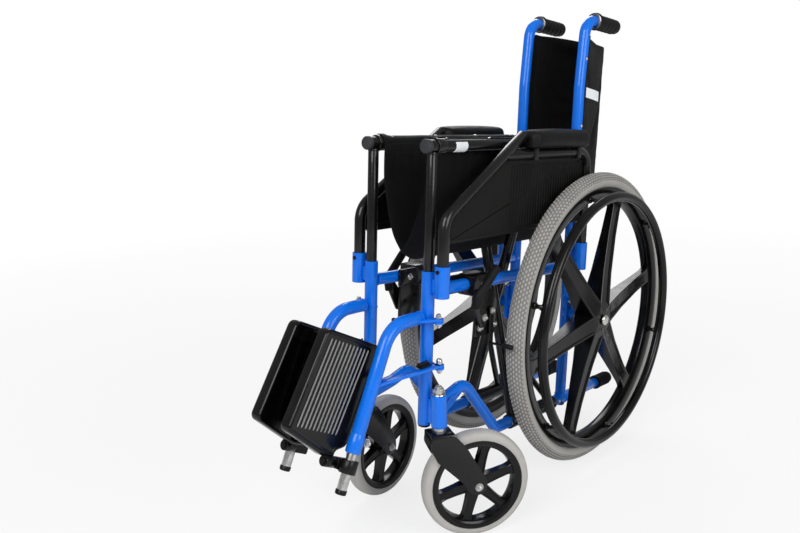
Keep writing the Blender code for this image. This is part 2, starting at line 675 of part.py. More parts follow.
def arm_button():
    """Push button in the front socket, ending clear of the armrest tube."""
    return tube([at(ARM_O, -SOCKET_R - 0.0030, BUTTON_V), at(ARM_O, -ARM_R - 0.0008, BUTTON_V)], BUTTON_R, 10)


def meet_u():
    """Where the sloped tube meets the rail's height."""
    return (ARM_RAIL_V - ARM_BEND_V) / ARM_SLOPE


def pad_start():
    """The pad's front end, just behind the sloped tube's stub."""
    return meet_u() + ARM_STUB + PAD_BEHIND_STUB


def arm_pad():
    """Crowned pad with rounded ends, flat where it lies on the rail."""
    start, end = pad_start(), PAD_END_U
    low = ARM_RAIL_V + ARM_R + GAP
    rings = []
    ends = ((0.0, 0.62), (0.03, 0.86), (0.09, 1.0), (0.5, 1.0), (0.91, 1.0), (0.97, 0.86), (1.0, 0.62))
    for share, size in ends:
        u = start + share * (end - start)
        w = PAD_HALF_WIDTH * size
        h = PAD_HEIGHT * (0.35 + 0.65 * size)
        right = [(0.80 * w, 0), (w, 0.25 * h), (w, 0.60 * h), (0.82 * w, 0.90 * h), (0.40 * w, h)]
        ring = right + [(-a, b) for a, b in reversed(right)]
        rings.append([at(PAD_O + a, u, low + b) for a, b in ring])
    return skin(rings)


def skirt_guard():
    """Side panel that fills the armrest's outline."""
    top = ARM_RAIL_V - ARM_R - GAP
    slope_drop = (ARM_R + GAP) * math.sqrt(1 + ARM_SLOPE ** 2)
    slope_u = (top - ARM_BEND_V + slope_drop) / ARM_SLOPE
    back = ARM_REAR_U - 0.014
    outline = [(0.0118, 0.330), (0.0195, 0.322), (back - 0.008, 0.326), (back, 0.334), (back, 0.438),
               (ARM_REAR_U - 0.030, top),
               (slope_u, top), (0.0300, ARM_BEND_V + ARM_SLOPE * 0.0300 - slope_drop), (0.0185, 0.3590),
               (0.0118, 0.3430)]
    return slab(outline, (ARM_O - GUARD_THICK / 2, ARM_O + GUARD_THICK / 2))


# Brake
def brake_bracket():
    """Clamp round the top rail, side plate and the two pivot pins."""
    tilt = (TOP_RAIL_REAR_V - TOP_RAIL_FRONT_V) / REAR_U
    low, high = top_rail_v(0.1315) - 0.0195, top_rail_v(0.1315) + 0.0190
    drop = 0.053 * tilt
    block = slab([(0.105, low), (0.158, low + drop), (0.158, high + drop), (0.105, high)], (-0.0150, 0.0218))
    inner = slab([(0.060, low + 0.004), (0.112, low + 0.003), (0.112, high - 0.002), (0.060, high - 0.002)],
                 (-0.0190, -0.0120))
    edge = [(0.106, 0.142), (0.166, 0.140), (0.171, 0.150), (0.171, 0.200), (0.156, 0.226), (0.106, 0.228)]
    plate = slab(edge, PLATE_O)
    pins = [tube([at(PLATE_O[0] + 0.002, *spot), at(reach, *spot)], 0.0030, 10, side=UPWARD)
            for spot, reach in ((LEVER_AT, 0.0365), (SHOE_AT, 0.0320))]
    whole = fuse(block, inner, plate, *pins)
    rail = sweep([at(0, 0.02, top_rail_v(0.02)), at(0, 0.25, top_rail_v(0.25))], hole(RAIL_R, 12))
    return cut(whole, rail)


def brake_lever():
    """Lever with its pivot hole and a thick rounded grip."""
    o = 0.0340
    edge = [(0.110, 0.160), (0.122, 0.160), (0.130, 0.174), (0.128, 0.186), (0.098, 0.222), (0.084, 0.222),
            (0.084, 0.206)]
    route = rounded([at(o + 0.001, 0.089, 0.200), at(0.042, 0.092, 0.224), at(0.045, 0.142, 0.270)], 0.02)
    grip = [(0.007 * math.cos(k * math.tau / 10), 0.0085 * math.sin(k * math.tau / 10)) for k in range(10)]
    arm = fuse(slab(edge, (o - 0.0020, o + 0.0020)), sweep(route, grip))
    return cut(arm, sweep([at(0, *LEVER_AT), at(0.060, *LEVER_AT)], hole(0.0030, 10), UPWARD))


def brake_shoe():
    """Arm and cross rod that press on the tyre."""
    o = 0.0295
    arm = slab([(SHOE_AT[0] - 0.007, SHOE_AT[1] + 0.007), (SHOE_AT[0] + 0.007, SHOE_AT[1] + 0.007),
                (ROD_AT[0] + 0.006, ROD_AT[1] - 0.006), (ROD_AT[0] - 0.006, ROD_AT[1] - 0.006)],
               (o - 0.0020, o + 0.0018))
    rod = tube([at(o, *ROD_AT), at(0.070, *ROD_AT)], 0.0040, 10, side=UPWARD)
    tip = tube([at(0.0580, *ROD_AT), at(0.0790, *ROD_AT)], 0.0060, 10, side=UPWARD)
    return cut(fuse(arm, rod, tip), sweep([at(0, *SHOE_AT), at(0.060, *SHOE_AT)], hole(0.0030, 10), UPWARD))


# Cloth
def seat_half():
    """Left half of the folded seat cloth, from its hem beside the rail down to the middle fold."""
    hem_x = HALF_GAP - SEAT_HEM
    lean = math.acos(hem_x / SEAT_CHORD)
    down = Vector((-math.cos(lean), 0, -math.sin(lean)))
    out = Vector((math.sin(lean), 0, -math.cos(lean)))
    rings = []
    steps = 8
    for i in range(steps + 1):
        share = i / steps
        u = SEAT_U[0] + share * (SEAT_U[1] - SEAT_U[0])
        front_flare = 0.024 * (1 - share) ** 3
        ring = []
        for face in (1, -1):
            stops = range(7) if face == 1 else range(6, -1, -1)
            for k in stops:
                fall = k / 6
                length = fall * (SEAT_CHORD - 0.0024)
                fold = -0.0014 * math.sin(math.pi * fall) * (1 + math.sin(5 * math.pi * share))
                ring.append(Vector((hem_x, u - front_flare * fall, SEAT_RAIL_V)) + down * length
                            + out * (fold + face * CLOTH / 2 * (1.0 - 0.55 * (k == 6))))
        rings.append(ring)
    return skin(rings)


def back_axis(v):
    """A point of the line that the left back cloth swings about, along the cane."""
    low, high = 0.4735, 0.4820
    return at(0, low + (high - low) * (v - BACK_V[0]) / (BACK_V[1] - BACK_V[0]), v)


def cane_u(v):
    """Where the cane's middle is at a height, below its top bend."""
    if v < CANE_KINK[1]:
        share = (v - LOW_RAIL_V) / (CANE_KINK[1] - LOW_RAIL_V)
        return CANE_FOOT_U + (CANE_KINK[0] - CANE_FOOT_U) * share
    top = grip_point(CANE_TOP_U)
    return CANE_KINK[0] + (top.y - CANE_KINK[0]) * (v - CANE_KINK[1]) / (top.z - CANE_KINK[1])


def back_half():
    """Left half of the folded back cloth, from the cane to the rear fold."""
    lean = math.acos(HALF_GAP / BACK_CHORD)
    rear = Vector((-math.cos(lean), math.sin(lean), 0))
    out = Vector((math.sin(lean), math.cos(lean), 0))
    rings = []
    steps = 6
    for i in range(steps + 1):
        share = i / steps
        v = BACK_V[0] + share * (BACK_V[1] - BACK_V[0])
        start = (RAIL_R + 0.0002 + cane_u(v) - back_axis(v).y) / math.sin(lean)
        ring = []
        for face in (1, -1):
            stops = range(7) if face == 1 else range(6, -1, -1)
            for k in stops:
                fall = k / 6
                length = start + fall * (BACK_CHORD - start - 0.0020)
                fold = 0.0020 * math.sin(math.pi * fall) * math.sin(3 * math.pi * share + 0.6)
                sag = -0.012 * fall * max(0.0, share - 0.6) / 0.4
                ring.append(back_axis(v) + rear * length + Vector((0, 0, sag))
                            + out * (fold + face * CLOTH / 2 * (1.0 - 0.55 * (k == 6))))
        rings.append(ring)
    return skin(rings)


# The whole chair
def build_sides():
    axle = axle_at(0)
    both("side_frame", side_frame(), at(0, 0, 0), BLUE)
    both("tipping_boot", tipping_boot(), at(0, LOW_RAIL_END, LOW_RAIL_V), BLACK_RUBBER)
    both("push_grip", push_grip(), grip_point(GRIP_U), BLACK_RUBBER)
    both("brake_bracket", brake_bracket(), at(0, 0.1315, top_rail_v(0.1315)), BLACK_PAINT)
    both("brake_lever", brake_lever(), at(0.0340, *LEVER_AT), BLACK_PAINT)
    both("brake_shoe", brake_shoe(), at(0.0295, *SHOE_AT), BLACK_PAINT)
    both("wheel_tyre", wheel_tyre(), axle_at(WHEEL_O), GREY_TYRE)
    both("wheel_mag", wheel_mag(), axle_at(WHEEL_O), BLACK_PLASTIC)
    both("handrim", handrim(), axle_at(WHEEL_O), BLACK_PAINT)
    both("axle_bolt", axle_bolt(), axle, CHROME)
    both("hanger", hanger(), upright_at(PIN_O, PIN_BACK, PIN_UP[0]), BLUE)
    both("extension", extension(), foot_at(0, EXT_S[0], 0), CHROME)
    both("footplate_hub", footplate_hub(), foot_at(0, FOOT_S, 0), BLACK_PLASTIC)
    both("footplate", footplate(), foot_axis(FOOT_BARREL_T[0]), BLACK_PLASTIC)
    both("armrest_tube", armrest_tube(), at(ARM_O, 0, FRONT_BORE_FLOOR + 0.001), BLACK_PAINT)
    both("arm_button", arm_button(), at(ARM_O, -SOCKET_R, BUTTON_V), BLACK_PLASTIC)
    both("arm_pad", arm_pad(), at(PAD_O, pad_start(), ARM_RAIL_V + ARM_R), BLACK_RUBBER)
    both("skirt_guard", skirt_guard(), at(ARM_O, 0.0115, 0.322), BLACK_PLASTIC)
    both("seat_rail", seat_rail(), at(0, 0, SEAT_RAIL_V), BLACK_PAINT)
    both("rail_cap", rail_cap(), at(0, SEAT_RAIL_U[0], SEAT_RAIL_V), BLACK_PLASTIC)
    both("seat_post", seat_post(), at(0, 0.015, SEAT_RAIL_V), BLACK_PAINT)
    both("seat_sling", seat_half(), at(-SEAT_HEM, SEAT_U[0], SEAT_RAIL_V), FABRIC)
    both("back_sling", back_half(), back_axis(BACK_V[0]), FABRIC)


def build_casters():
    for side in ("left", "right"):
        place = caster_place(side)
        hub = Vector((0, TRAIL, CASTER_UP))
        emit(side + "_caster_fork", caster_fork(), (0, 0, HOUSING[0]), BLACK_PAINT, place=place)
        emit(side + "_stem_nut", stem_nut(), (0, 0, HOUSING[1]), CHROME, place=place)
        emit(side + "_caster_rim", caster_rim(), hub, BLACK_PLASTIC, place=place)
        emit(side + "_caster_tyre", caster_tyre(), hub, GREY_TYRE, place=place)
        emit(side + "_caster_axle_bolt", caster_axle_bolt(), hub, CHROME, place=place)


def build_brace():
    emit("brace_a", brace(BRACE_U[0]), brace_point(BRACE_U[0], 0), BLACK_PAINT)
    emit("brace_b", brace(BRACE_U[1]), brace_point(BRACE_U[1], 0), BLACK_PAINT, mirror=True)
    emit("brace_bolt", brace_bolt(), (0, BRACE_U[0], brace_point(0, 0.5).z), CHROME)


for old in list(bpy.data.objects):
    bpy.data.objects.remove(old)
build_sides()
build_casters()
build_brace()
low = Vector((1e9, 1e9, 1e9))
high = -low
for item in bpy.context.scene.objects:
    for vertex in item.data.vertices:
        point = item.matrix_world @ vertex.co
        low = Vector(map(min, low, point))
        high = Vector(map(max, high, point))
print("box", [round(c, 4) for c in low], [round(c, 4) for c in high])
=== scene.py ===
"""Looks of a folding wheelchair, built round its packed model. Metres, +Z up, the chair faces -Y.

Most pieces are laid out for the left half, in the chair's own pitched frame. A point there is
(o, u, v): o outboard of the frame tubes, u towards the back, v up along the uprights. Left is +X.
"""
import math

import bmesh
import bpy
from bpy.props import FloatProperty, FloatVectorProperty, IntProperty, PointerProperty
from mathutils import Matrix, Vector


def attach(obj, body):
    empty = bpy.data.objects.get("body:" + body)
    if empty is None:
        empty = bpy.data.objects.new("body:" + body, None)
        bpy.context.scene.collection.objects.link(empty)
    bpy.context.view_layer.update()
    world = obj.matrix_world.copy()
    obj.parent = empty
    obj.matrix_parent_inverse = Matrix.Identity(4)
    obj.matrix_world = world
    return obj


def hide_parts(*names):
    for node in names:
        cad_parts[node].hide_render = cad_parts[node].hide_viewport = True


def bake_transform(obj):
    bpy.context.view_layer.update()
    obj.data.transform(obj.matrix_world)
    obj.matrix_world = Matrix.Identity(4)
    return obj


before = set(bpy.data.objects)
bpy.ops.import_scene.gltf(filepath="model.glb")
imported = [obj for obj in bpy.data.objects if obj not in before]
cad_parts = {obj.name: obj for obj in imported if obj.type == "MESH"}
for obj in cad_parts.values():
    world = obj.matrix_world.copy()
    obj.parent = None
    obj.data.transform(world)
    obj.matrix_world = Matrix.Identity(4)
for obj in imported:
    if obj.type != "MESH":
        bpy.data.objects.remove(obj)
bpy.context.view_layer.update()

bl_info = {
    "name": "Folding Wheelchair",
    "version": (1, 0, 0),
    "blender": (4, 5, 0),
    "location": "3D View > Sidebar > Wheelchair",
    "description": "Builds a folding wheelchair with painted tubes, moulded wheels and nylon slings",
    "category": "Add Mesh",
}

# Stance, shared with the packed model
PITCH = math.radians(4.0)
HALF_GAP = 0.0665
ORIGIN_SIDE = 0.0087
ORIGIN_BACK = 0.2345
CHAIR = Matrix.Translation((-ORIGIN_SIDE, -0.012 - ORIGIN_BACK, 0.215)) @ Matrix.Rotation(-PITCH, 4, "X")
ACROSS = Vector((1, 0, 0))
ALONG = Vector((0, 1, 0))
UPWARD = Vector((0, 0, 1))
LEVEL_UP = CHAIR.inverted().to_3x3() @ UPWARD
LEVEL_BACK = CHAIR.inverted().to_3x3() @ ALONG

# Frame tubes
UPRIGHT_R = 0.0118
UPRIGHT_TOP = 0.274
RAIL_R = 0.0112
CANE_FOOT_U = 0.472
REAR_U = 0.4735
LOW_RAIL_V = -0.07
CANE_KINK = (0.4755, 0.6)
GRIP_U = 0.52
GRIP_LENGTH = 0.094

# Seat rails, posts and cross brace
SEAT_RAIL_R = 0.011
SEAT_RAIL_V = 0.485
SEAT_RAIL_U = (-0.0105, 0.452)
BRACE_U = (0.285, 0.317)

# Wheels
AXLE = (0.4685, 0.305)
WHEEL_O = 0.0629
SPOKE_PHASE = math.radians(16.0)
TAB_PHASE = math.radians(45.0)
HANDRIM = (0.1032, 0.258, 0.0095)
STEM = (0.03, -0.007)
TRAIL = 0.066
CASTER_UP = 0.1
CASTER_TURN = {"left": -0.585, "right": 0.06}

# Leg rests
PIN = (0.027, -0.001)
PIN_UP = (0.3255, 0.4077)
HANGER_A = (-0.119, 0.141)
HANGER_LEAN = math.radians(23.67)
FOOT_S = 0.177
FOOT_O = -0.02
FOOT_THICK = 0.022

# Armrests
ARM_O = 0.03
ARM_R = 0.0103
ARM_RAIL_V = 0.4684
ARM_SLOPE = 0.6
ARM_BEND_V = 0.367
ARM_MEET_U = 0.169
ARM_STUB_U = 0.225
ARM_REAR_U = 0.468
ARM_SOCKET_R = 0.0132
PAD_O = 0.036
BUTTON_V = 0.277

# Brake pivots and rod
LEVER_AT = (0.12, 0.178)
SHOE_AT = (0.15, 0.186)
ROD_AT = (0.151, 0.124)

# Cloth
SEAT_HEM = 0.0125
SEAT_CHORD = 0.2145
SEAT_U = (0.012, 0.436)
BACK_CHORD = 0.2245
BACK_V = (0.35, 0.711)

# Stage
CAMERA_AT = (0.9486, -1.3134, 0.8314)
CAMERA_TURN = (0.7217, 0.2337, -0.0231)
CAMERA_LENS = 38.11
SOFT_LIGHT = 0.34
FLOOR_FADE = (0.9, 3.0)
FLOOR_WHITE = (0.78, 1.0)


# Settings that a user would change

class PaintSettings(bpy.types.PropertyGroup):
    """Colours of the painted tubes."""
    frame_blue: FloatVectorProperty(name="Frame blue", description="Gloss paint of the frame tubes",
                                    subtype="COLOR", size=4, min=0, max=1, default=(0.0008, 0.158, 0.76, 1))
    black: FloatVectorProperty(name="Black paint", description="Gloss paint of posts, braces and armrests",
                               subtype="COLOR", size=4, min=0, max=1, default=(0.004, 0.0038, 0.0036, 1))
    peel: FloatProperty(name="Orange peel", description="Height of the ripple in the paint", unit="LENGTH",
                        default=0.00012, min=0, max=0.001, precision=5)


class WheelSettings(bpy.types.PropertyGroup):
    """Tyres and moulded wheels."""
    tyre_grey: FloatVectorProperty(name="Tyre grey", description="Colour of the tyres", subtype="COLOR",
                                   size=4, min=0, max=1, default=(0.4, 0.39, 0.368, 1))
    tread_count: IntProperty(name="Tread blocks", description="Blocks round one row of the tread",
                             default=200, min=40, max=260)
    tread_height: FloatProperty(name="Tread height", description="How far a tread block stands up",
                                unit="LENGTH", default=0.0012, min=0, max=0.003, precision=4)
    groove: FloatProperty(name="Spoke groove", description="Depth of the groove along each spoke",
                          unit="LENGTH", default=0.0032, min=0, max=0.006, precision=4)


class FootplateSettings(bpy.types.PropertyGroup):
    """Moulded footplates."""
    rib_count: IntProperty(name="Ribs", description="Ribs on the tread", default=11, min=2, max=20)
    rib_step: FloatProperty(name="Rib spacing", description="Distance from rib to rib", unit="LENGTH",
                            default=0.009, min=0.004, max=0.02, precision=4)


class ClothSettings(bpy.types.PropertyGroup):
    """Nylon seat and back."""
    thread: FloatProperty(name="Thread spacing", description="Distance between threads of the weave",
                          unit="LENGTH", default=0.0011, min=0.0003, max=0.004, precision=4)
    slack: FloatProperty(name="Slack", description="Extra cloth between the hems, as a share of its length",
                         subtype="FACTOR", default=0.022, min=0, max=0.08)
    thickness: FloatProperty(name="Thickness", description="Both layers of cloth together", unit="LENGTH",
                             default=0.002, min=0.0005, max=0.004, precision=4)
    stitch: FloatProperty(name="Stitch spacing", description="Distance from stitch to stitch", unit="LENGTH",
                          default=0.005, min=0.002, max=0.02, precision=4)


class StageSettings(bpy.types.PropertyGroup):
    """Floor, backdrop and lamps."""
    floor: FloatVectorProperty(name="Floor", description="Colour of the floor", subtype="COLOR", size=4,
                               min=0, max=1, default=(0.9, 0.9, 0.9, 1))
    lamp: FloatProperty(name="Lamp power", description="Power of the main soft lamp in watts", default=52.0,
                        min=0, max=500)


# Places

def at(o, u, v):
    """A point of the left half in the chair's pitched frame."""
    return Vector((HALF_GAP + o, u, v))


def upright_at(o, back, up):
    """The same frame's point for a place given by its level height and distance back."""
    return CHAIR.inverted() @ Vector((HALF_GAP + o - ORIGIN_SIDE, back - ORIGIN_BACK, up))


def foot_at(o, s, t):
    """A point beside the leg tube: s down along it, t forward of it."""
    down = Vector((0, -math.sin(HANGER_LEAN), -math.cos(HANGER_LEAN)))
    front = Vector((0, -math.cos(HANGER_LEAN), math.sin(HANGER_LEAN)))
    return at(o, *HANGER_A) + s * down + t * front


def leg_way(s, t):
    """A direction beside the leg tube: s down it, t forward of it."""
    return (foot_at(0, s, t) - foot_at(0, 0, 0)).normalized()


def axle_at(o):
    """A point of the rear axle."""
    return upright_at(o, *AXLE)


def grip_point(u):
    """A point of the push grip's axis."""
    return at(0, u, 0.733 - 0.048 * (u - GRIP_U))


def rail_v(u):
    """Height of the top rail's middle."""
    return 0.2385 - 0.012 * u / REAR_U


def cane_u(v):
    """Where the cane's middle is at a height, below its top bend."""
    if v < CANE_KINK[1]:
        return CANE_FOOT_U + (CANE_KINK[0] - CANE_FOOT_U) * (v - LOW_RAIL_V) / (CANE_KINK[1] - LOW_RAIL_V)
    top = grip_point(0.487)
    return CANE_KINK[0] + (top.y - CANE_KINK[0]) * (v - CANE_KINK[1]) / (top.z - CANE_KINK[1])


# Mesh helpers

def rings_into(bm, rings, loop=False):
    """Joins closed rings of points with faces, capped at both ends unless they form a loop."""
    loops = [[bm.verts.new(p) for p in ring] for ring in rings]
    count = len(loops[0])
    pairs = list(zip(loops, loops[1:]))
    if loop:
        pairs.append((loops[-1], loops[0]))
    for low, high in pairs:
        for i in range(count):
            j = (i + 1) % count
            bm.faces.new((low[i], low[j], high[j], high[i]))
    if not loop:
        bm.faces.new(loops[0])
        bm.faces.new(loops[-1])


def lathe(bm, profile, base, axis, steps=40, closed=False):
    """Turns (along, radius) pairs about the axis through base; closed makes the profile a loop."""
    axis = Vector(axis).normalized()
    side = axis.orthogonal().normalized()
    other = axis.cross(side)
    columns = []
    for i in range(steps):
        angle = (i + 0.5) * math.tau / steps
        out = side * math.cos(angle) + other * math.sin(angle)
        columns.append([base + axis * along + out * radius for along, radius in profile])
    if closed:
        rings_into(bm, columns, loop=True)
    else:
        rings_into(bm, [[column[k] for column in columns] for k in range(len(profile))])


def shape(build):
    """A maker that hands build a new bmesh to fill, and gives the bmesh back."""
    def maker(*values):
        bm = bmesh.new()
        build(bm, *values)
        return bm
    return maker


def bead(middle, radius, size, sides=8):
    """The round section of a ring, as (along, radius) pairs."""
    return [(middle + size * math.cos(k * math.tau / sides), radius + size * math.sin(k * math.tau / sides))
            for k in range(sides)]


def mirrored(half):
    """A profile and its mirror image, joined into one loop of (along, radius) pairs."""
    return half + [(-along, radius) for along, radius in reversed(half)]


def there_and_back(outer, inner, steps):
    """Radius and step round a wrap's section: out along one radius, back along the other."""
    return [(outer, k) for k in range(steps + 1)] + [(inner, k) for k in range(steps, -1, -1)]


def socket(bm, base, axis, length, outer, inner, depth):
    """An upright cup: a round socket with a hole of the given depth in its far end."""
    lathe(bm, [(0, outer - 0.0006), (0.0006, outer), (length - 0.0008, outer), (length, outer - 0.0006),
               (length, inner + 0.0004), (length - 0.0006, inner), (length - depth, inner),
               (length - depth, 0.0004)],
          base, axis)


def rounded(points, radius, steps=6, loop=False):
    """The route through the points with an arc at each corner."""
    points = [Vector(p) for p in points]
    if loop:
        corners = list(zip([points[-1]] + points[:-1], points, points[1:] + [points[0]]))
    else:
        corners = list(zip(points, points[1:], points[2:]))
    route = [] if loop else [points[0]]
    for before, corner, after in corners:
        back, ahead = before - corner, after - corner
        half = back.angle(ahead) / 2
        if half > math.radians(89.5):
            continue
        reach = min(radius / math.tan(half), 0.48 * back.length, 0.48 * ahead.length)
        centre = corner + (back.normalized() + ahead.normalized()).normalized() * reach / math.cos(half)
        first = corner + back.normalized() * reach - centre
        last = corner + ahead.normalized() * reach - centre
        for i in range(steps + 1):
            route.append(centre + first.normalized().slerp(last.normalized(), i / steps) * first.length)
    if not loop:
        route.append(points[-1])
    return route


def inset(points, distance):
    """A flat outline in (a, b) moved inwards by a distance."""
    area = sum(p[0] * q[1] - q[0] * p[1] for p, q in zip(points, points[1:] + points[:1]))
    turn = 1 if area > 0 else -1
    moved = []
    for before, here, after in zip([points[-1]] + points[:-1], points, points[1:] + [points[0]]):
        first = Vector((here[0] - before[0], here[1] - before[1])).normalized()
        second = Vector((after[0] - here[0], after[1] - here[1])).normalized()
        normal = Vector((-(first.y + second.y), first.x + second.x)).normalized() * turn
        edge = Vector((-first.y, first.x)) * turn
        moved.append((here[0] + normal.x * distance / max(0.4, normal.dot(edge)),
                      here[1] + normal.y * distance / max(0.4, normal.dot(edge))))
    return moved


def plate(bm, outline, o_range, place=at, corner=0.002):
    """A flat plate with rounded corners; the outline's axes are the place's second and third."""
    flat = rounded([Vector((a, b, 0)) for a, b in outline], corner, 4, loop=True)
    rings_into(bm, [[place(o, p.x, p.y) for p in flat] for o in o_range])


def dished(bm, outline, levels, place, corner):
    """A plate through several levels, each (o, inset) of the outline."""
    flat = [(p.x, p.y) for p in rounded([Vector((a, b, 0)) for a, b in outline], corner, 6, loop=True)]
    rings_into(bm, [[place(o, a, b) for a, b in inset(flat, d)] for o, d in levels])


def bar(bm, start, end, width, thick, side=ACROSS):
    """A flat bar; width lies along side."""
    start, end = Vector(start), Vector(end)
    along = (end - start).normalized()
    across = (side - along * side.dot(along)).normalized()
    up = across.cross(along)
    corners = [(-1, -1), (1, -1), (1, 1), (-1, 1)]
    rings_into(bm, [[p + across * a * width / 2 + up * b * thick / 2 for a, b in corners]
                    for p in (start, end)])


def screw(bm, base, axis, radius=0.0045, height=0.003, kind="dome"):
    """A domed screw, or a hex nut with its stud and washer, standing on base."""
    axis = Vector(axis).normalized()
    if kind == "dome":
        lathe(bm, [(0, radius * 0.6), (0, radius), (height * 0.35, radius * 0.98),
                   (height * 0.75, radius * 0.72),
                   (height, radius * 0.42), (height * 0.72, radius * 0.34), (height * 0.7, 0.0002)], base,
              axis, 20)
        return
    lathe(bm, [(0, radius * 0.5), (0, radius * 1.22), (0.0009, radius * 1.22), (0.0009, radius * 0.5)], base,
          axis, 24)
    lathe(bm, [(0.0009, radius * 0.5), (0.0009, radius * 0.94), (0.0013, radius), (height - 0.0006, radius),
               (height, radius * 0.86), (height, radius * 0.5)], base, axis, 6)
    lathe(bm, [(height - 0.001, radius * 0.55), (height + 0.0022, radius * 0.55),
               (height + 0.0028, radius * 0.42)],
          base, axis, 16)


# Geometry Nodes trees

def new_tree(name, inputs):
    """An empty tree with a geometry in and out and the named inputs."""
    tree = bpy.data.node_groups.new(name, "GeometryNodeTree")
    tree.interface.new_socket("Geometry", in_out="INPUT", socket_type="NodeSocketGeometry")
    for label, kind in inputs:
        tree.interface.new_socket(label, in_out="INPUT", socket_type=kind)
    tree.interface.new_socket("Geometry", in_out="OUTPUT", socket_type="NodeSocketGeometry")
    return tree, tree.nodes.new("NodeGroupInput"), tree.nodes.new("NodeGroupOutput")


def wire(tree, *routes):
    """Links sockets; each route is a node and its output, then a node and its input."""
    for source, output, target, entry in routes:
        tree.links.new(source.outputs[output], target.inputs[entry])


def end_tree(tree, start, end, geometry):
    """Realizes instances, sets the material and joins the output."""
    real = tree.nodes.new("GeometryNodeRealizeInstances")
    paint = tree.nodes.new("GeometryNodeSetMaterial")
    tree.links.new(geometry, real.inputs["Geometry"])
    tree.links.new(real.outputs["Geometry"], paint.inputs["Geometry"])
    tree.links.new(start.outputs["Material"], paint.inputs["Material"])
    tree.links.new(paint.outputs["Geometry"], end.inputs["Geometry"])
    return tree


def bent_tubes_tree():
    """Edges become round tubes; point attributes tube_radius and bend_radius size them."""
    tree, start, end = new_tree("Bent tubes", [("Sides", "NodeSocketInt"), ("Bend steps", "NodeSocketInt"),
                                               ("Material", "NodeSocketMaterial")])
    add = tree.nodes.new
    curve, fillet = add("GeometryNodeMeshToCurve"), add("GeometryNodeFilletCurve")
    fillet.mode = "POLY"
    fillet.inputs["Limit Radius"].default_value = True
    bend, size = add("GeometryNodeInputNamedAttribute"), add("GeometryNodeInputNamedAttribute")
    for node, name in ((bend, "bend_radius"), (size, "tube_radius")):
        node.data_type = "FLOAT"
        node.inputs["Name"].default_value = name
    profile, skin = add("GeometryNodeCurvePrimitiveCircle"), add("GeometryNodeCurveToMesh")
    profile.inputs["Radius"].default_value = 1.0
    skin.inputs["Fill Caps"].default_value = True
    wire(tree, (start, "Geometry", curve, "Mesh"), (curve, "Curve", fillet, "Curve"),
         (start, "Bend steps", fillet, "Count"), (bend, "Attribute", fillet, "Radius"),
         (fillet, "Curve", skin, "Curve"), (start, "Sides", profile, "Resolution"),
         (profile, "Curve", skin, "Profile Curve"), (size, "Attribute", skin, "Scale"))
    return end_tree(tree, start, end, skin.outputs["Mesh"])


def ring_tree():
    """Repeats the geometry round the X axis."""
    tree, start, end = new_tree("Ring of items", [("Count", "NodeSocketInt"), ("Phase", "NodeSocketFloat"),
                                                  ("Material", "NodeSocketMaterial")])
    add = tree.nodes.new
    line, place = add("GeometryNodeMeshLine"), add("GeometryNodeInstanceOnPoints")
    line.inputs["Offset"].default_value = (0, 0, 0)
    index, turn = add("GeometryNodeInputIndex"), add("ShaderNodeMath")
    shift, pack = add("ShaderNodeMath"), add("ShaderNodeCombineXYZ")
    share = add("ShaderNodeMath")
    share.operation = "DIVIDE"
    turn.operation = "MULTIPLY"
    turn.inputs[1].default_value = -math.tau
    shift.operation = "ADD"
    wire(tree, (start, "Count", line, "Count"), (index, "Index", share, 0), (start, "Count", share, 1),
         (share, 0, turn, 0), (turn, 0, shift, 0), (start, "Phase", shift, 1), (shift, 0, pack, "X"),
         (line, "Mesh", place, "Points"), (start, "Geometry", place, "Instance"),
         (pack, "Vector", place, "Rotation"))
    return end_tree(tree, start, end, place.outputs["Instances"])


def row_tree():
    """Repeats the geometry in a straight row."""
    tree, start, end = new_tree("Row of items", [("Count", "NodeSocketInt"), ("Step", "NodeSocketVector"),
                                                 ("Material", "NodeSocketMaterial")])
    line, place = tree.nodes.new("GeometryNodeMeshLine"), tree.nodes.new("GeometryNodeInstanceOnPoints")
    wire(tree, (start, "Count", line, "Count"), (start, "Step", line, "Offset"),
         (line, "Mesh", place, "Points"), (start, "Geometry", place, "Instance"))
    return end_tree(tree, start, end, place.outputs["Instances"])


def stitch_tree():
    """Lays a small thread bar at each step along the edges."""
    tree, start, end = new_tree("Stitches", [("Spacing", "NodeSocketFloat"),
                                             ("Stitch length", "NodeSocketFloat"),
                                             ("Thread radius", "NodeSocketFloat"),
                                             ("Material", "NodeSocketMaterial")])
    add = tree.nodes.new
    curve, points = add("GeometryNodeMeshToCurve"), add("GeometryNodeCurveToPoints")
    points.mode = "LENGTH"
    dot, place = add("GeometryNodeMeshUVSphere"), add("GeometryNodeInstanceOnPoints")
    dot.inputs["Segments"].default_value = 6
    dot.inputs["Rings"].default_value = 5
    dot.inputs["Radius"].default_value = 1.0
    size, half = add("ShaderNodeCombineXYZ"), add("ShaderNodeMath")
    half.operation = "MULTIPLY"
    half.inputs[1].default_value = 0.5
    wire(tree, (start, "Geometry", curve, "Mesh"), (curve, "Curve", points, "Curve"),
         (start, "Spacing", points, "Length"), (start, "Stitch length", half, 0),
         (start, "Thread radius", size, "X"), (start, "Thread radius", size, "Y"), (half, 0, size, "Z"),
         (points, "Points", place, "Points"), (points, "Rotation", place, "Rotation"),
         (dot, "Mesh", place, "Instance"), (size, "Vector", place, "Scale"))
    return end_tree(tree, start, end, place.outputs["Instances"])


TREES = {}
TREE_MAKERS = {"tubes": bent_tubes_tree, "ring": ring_tree, "row": row_tree, "stitches": stitch_tree}


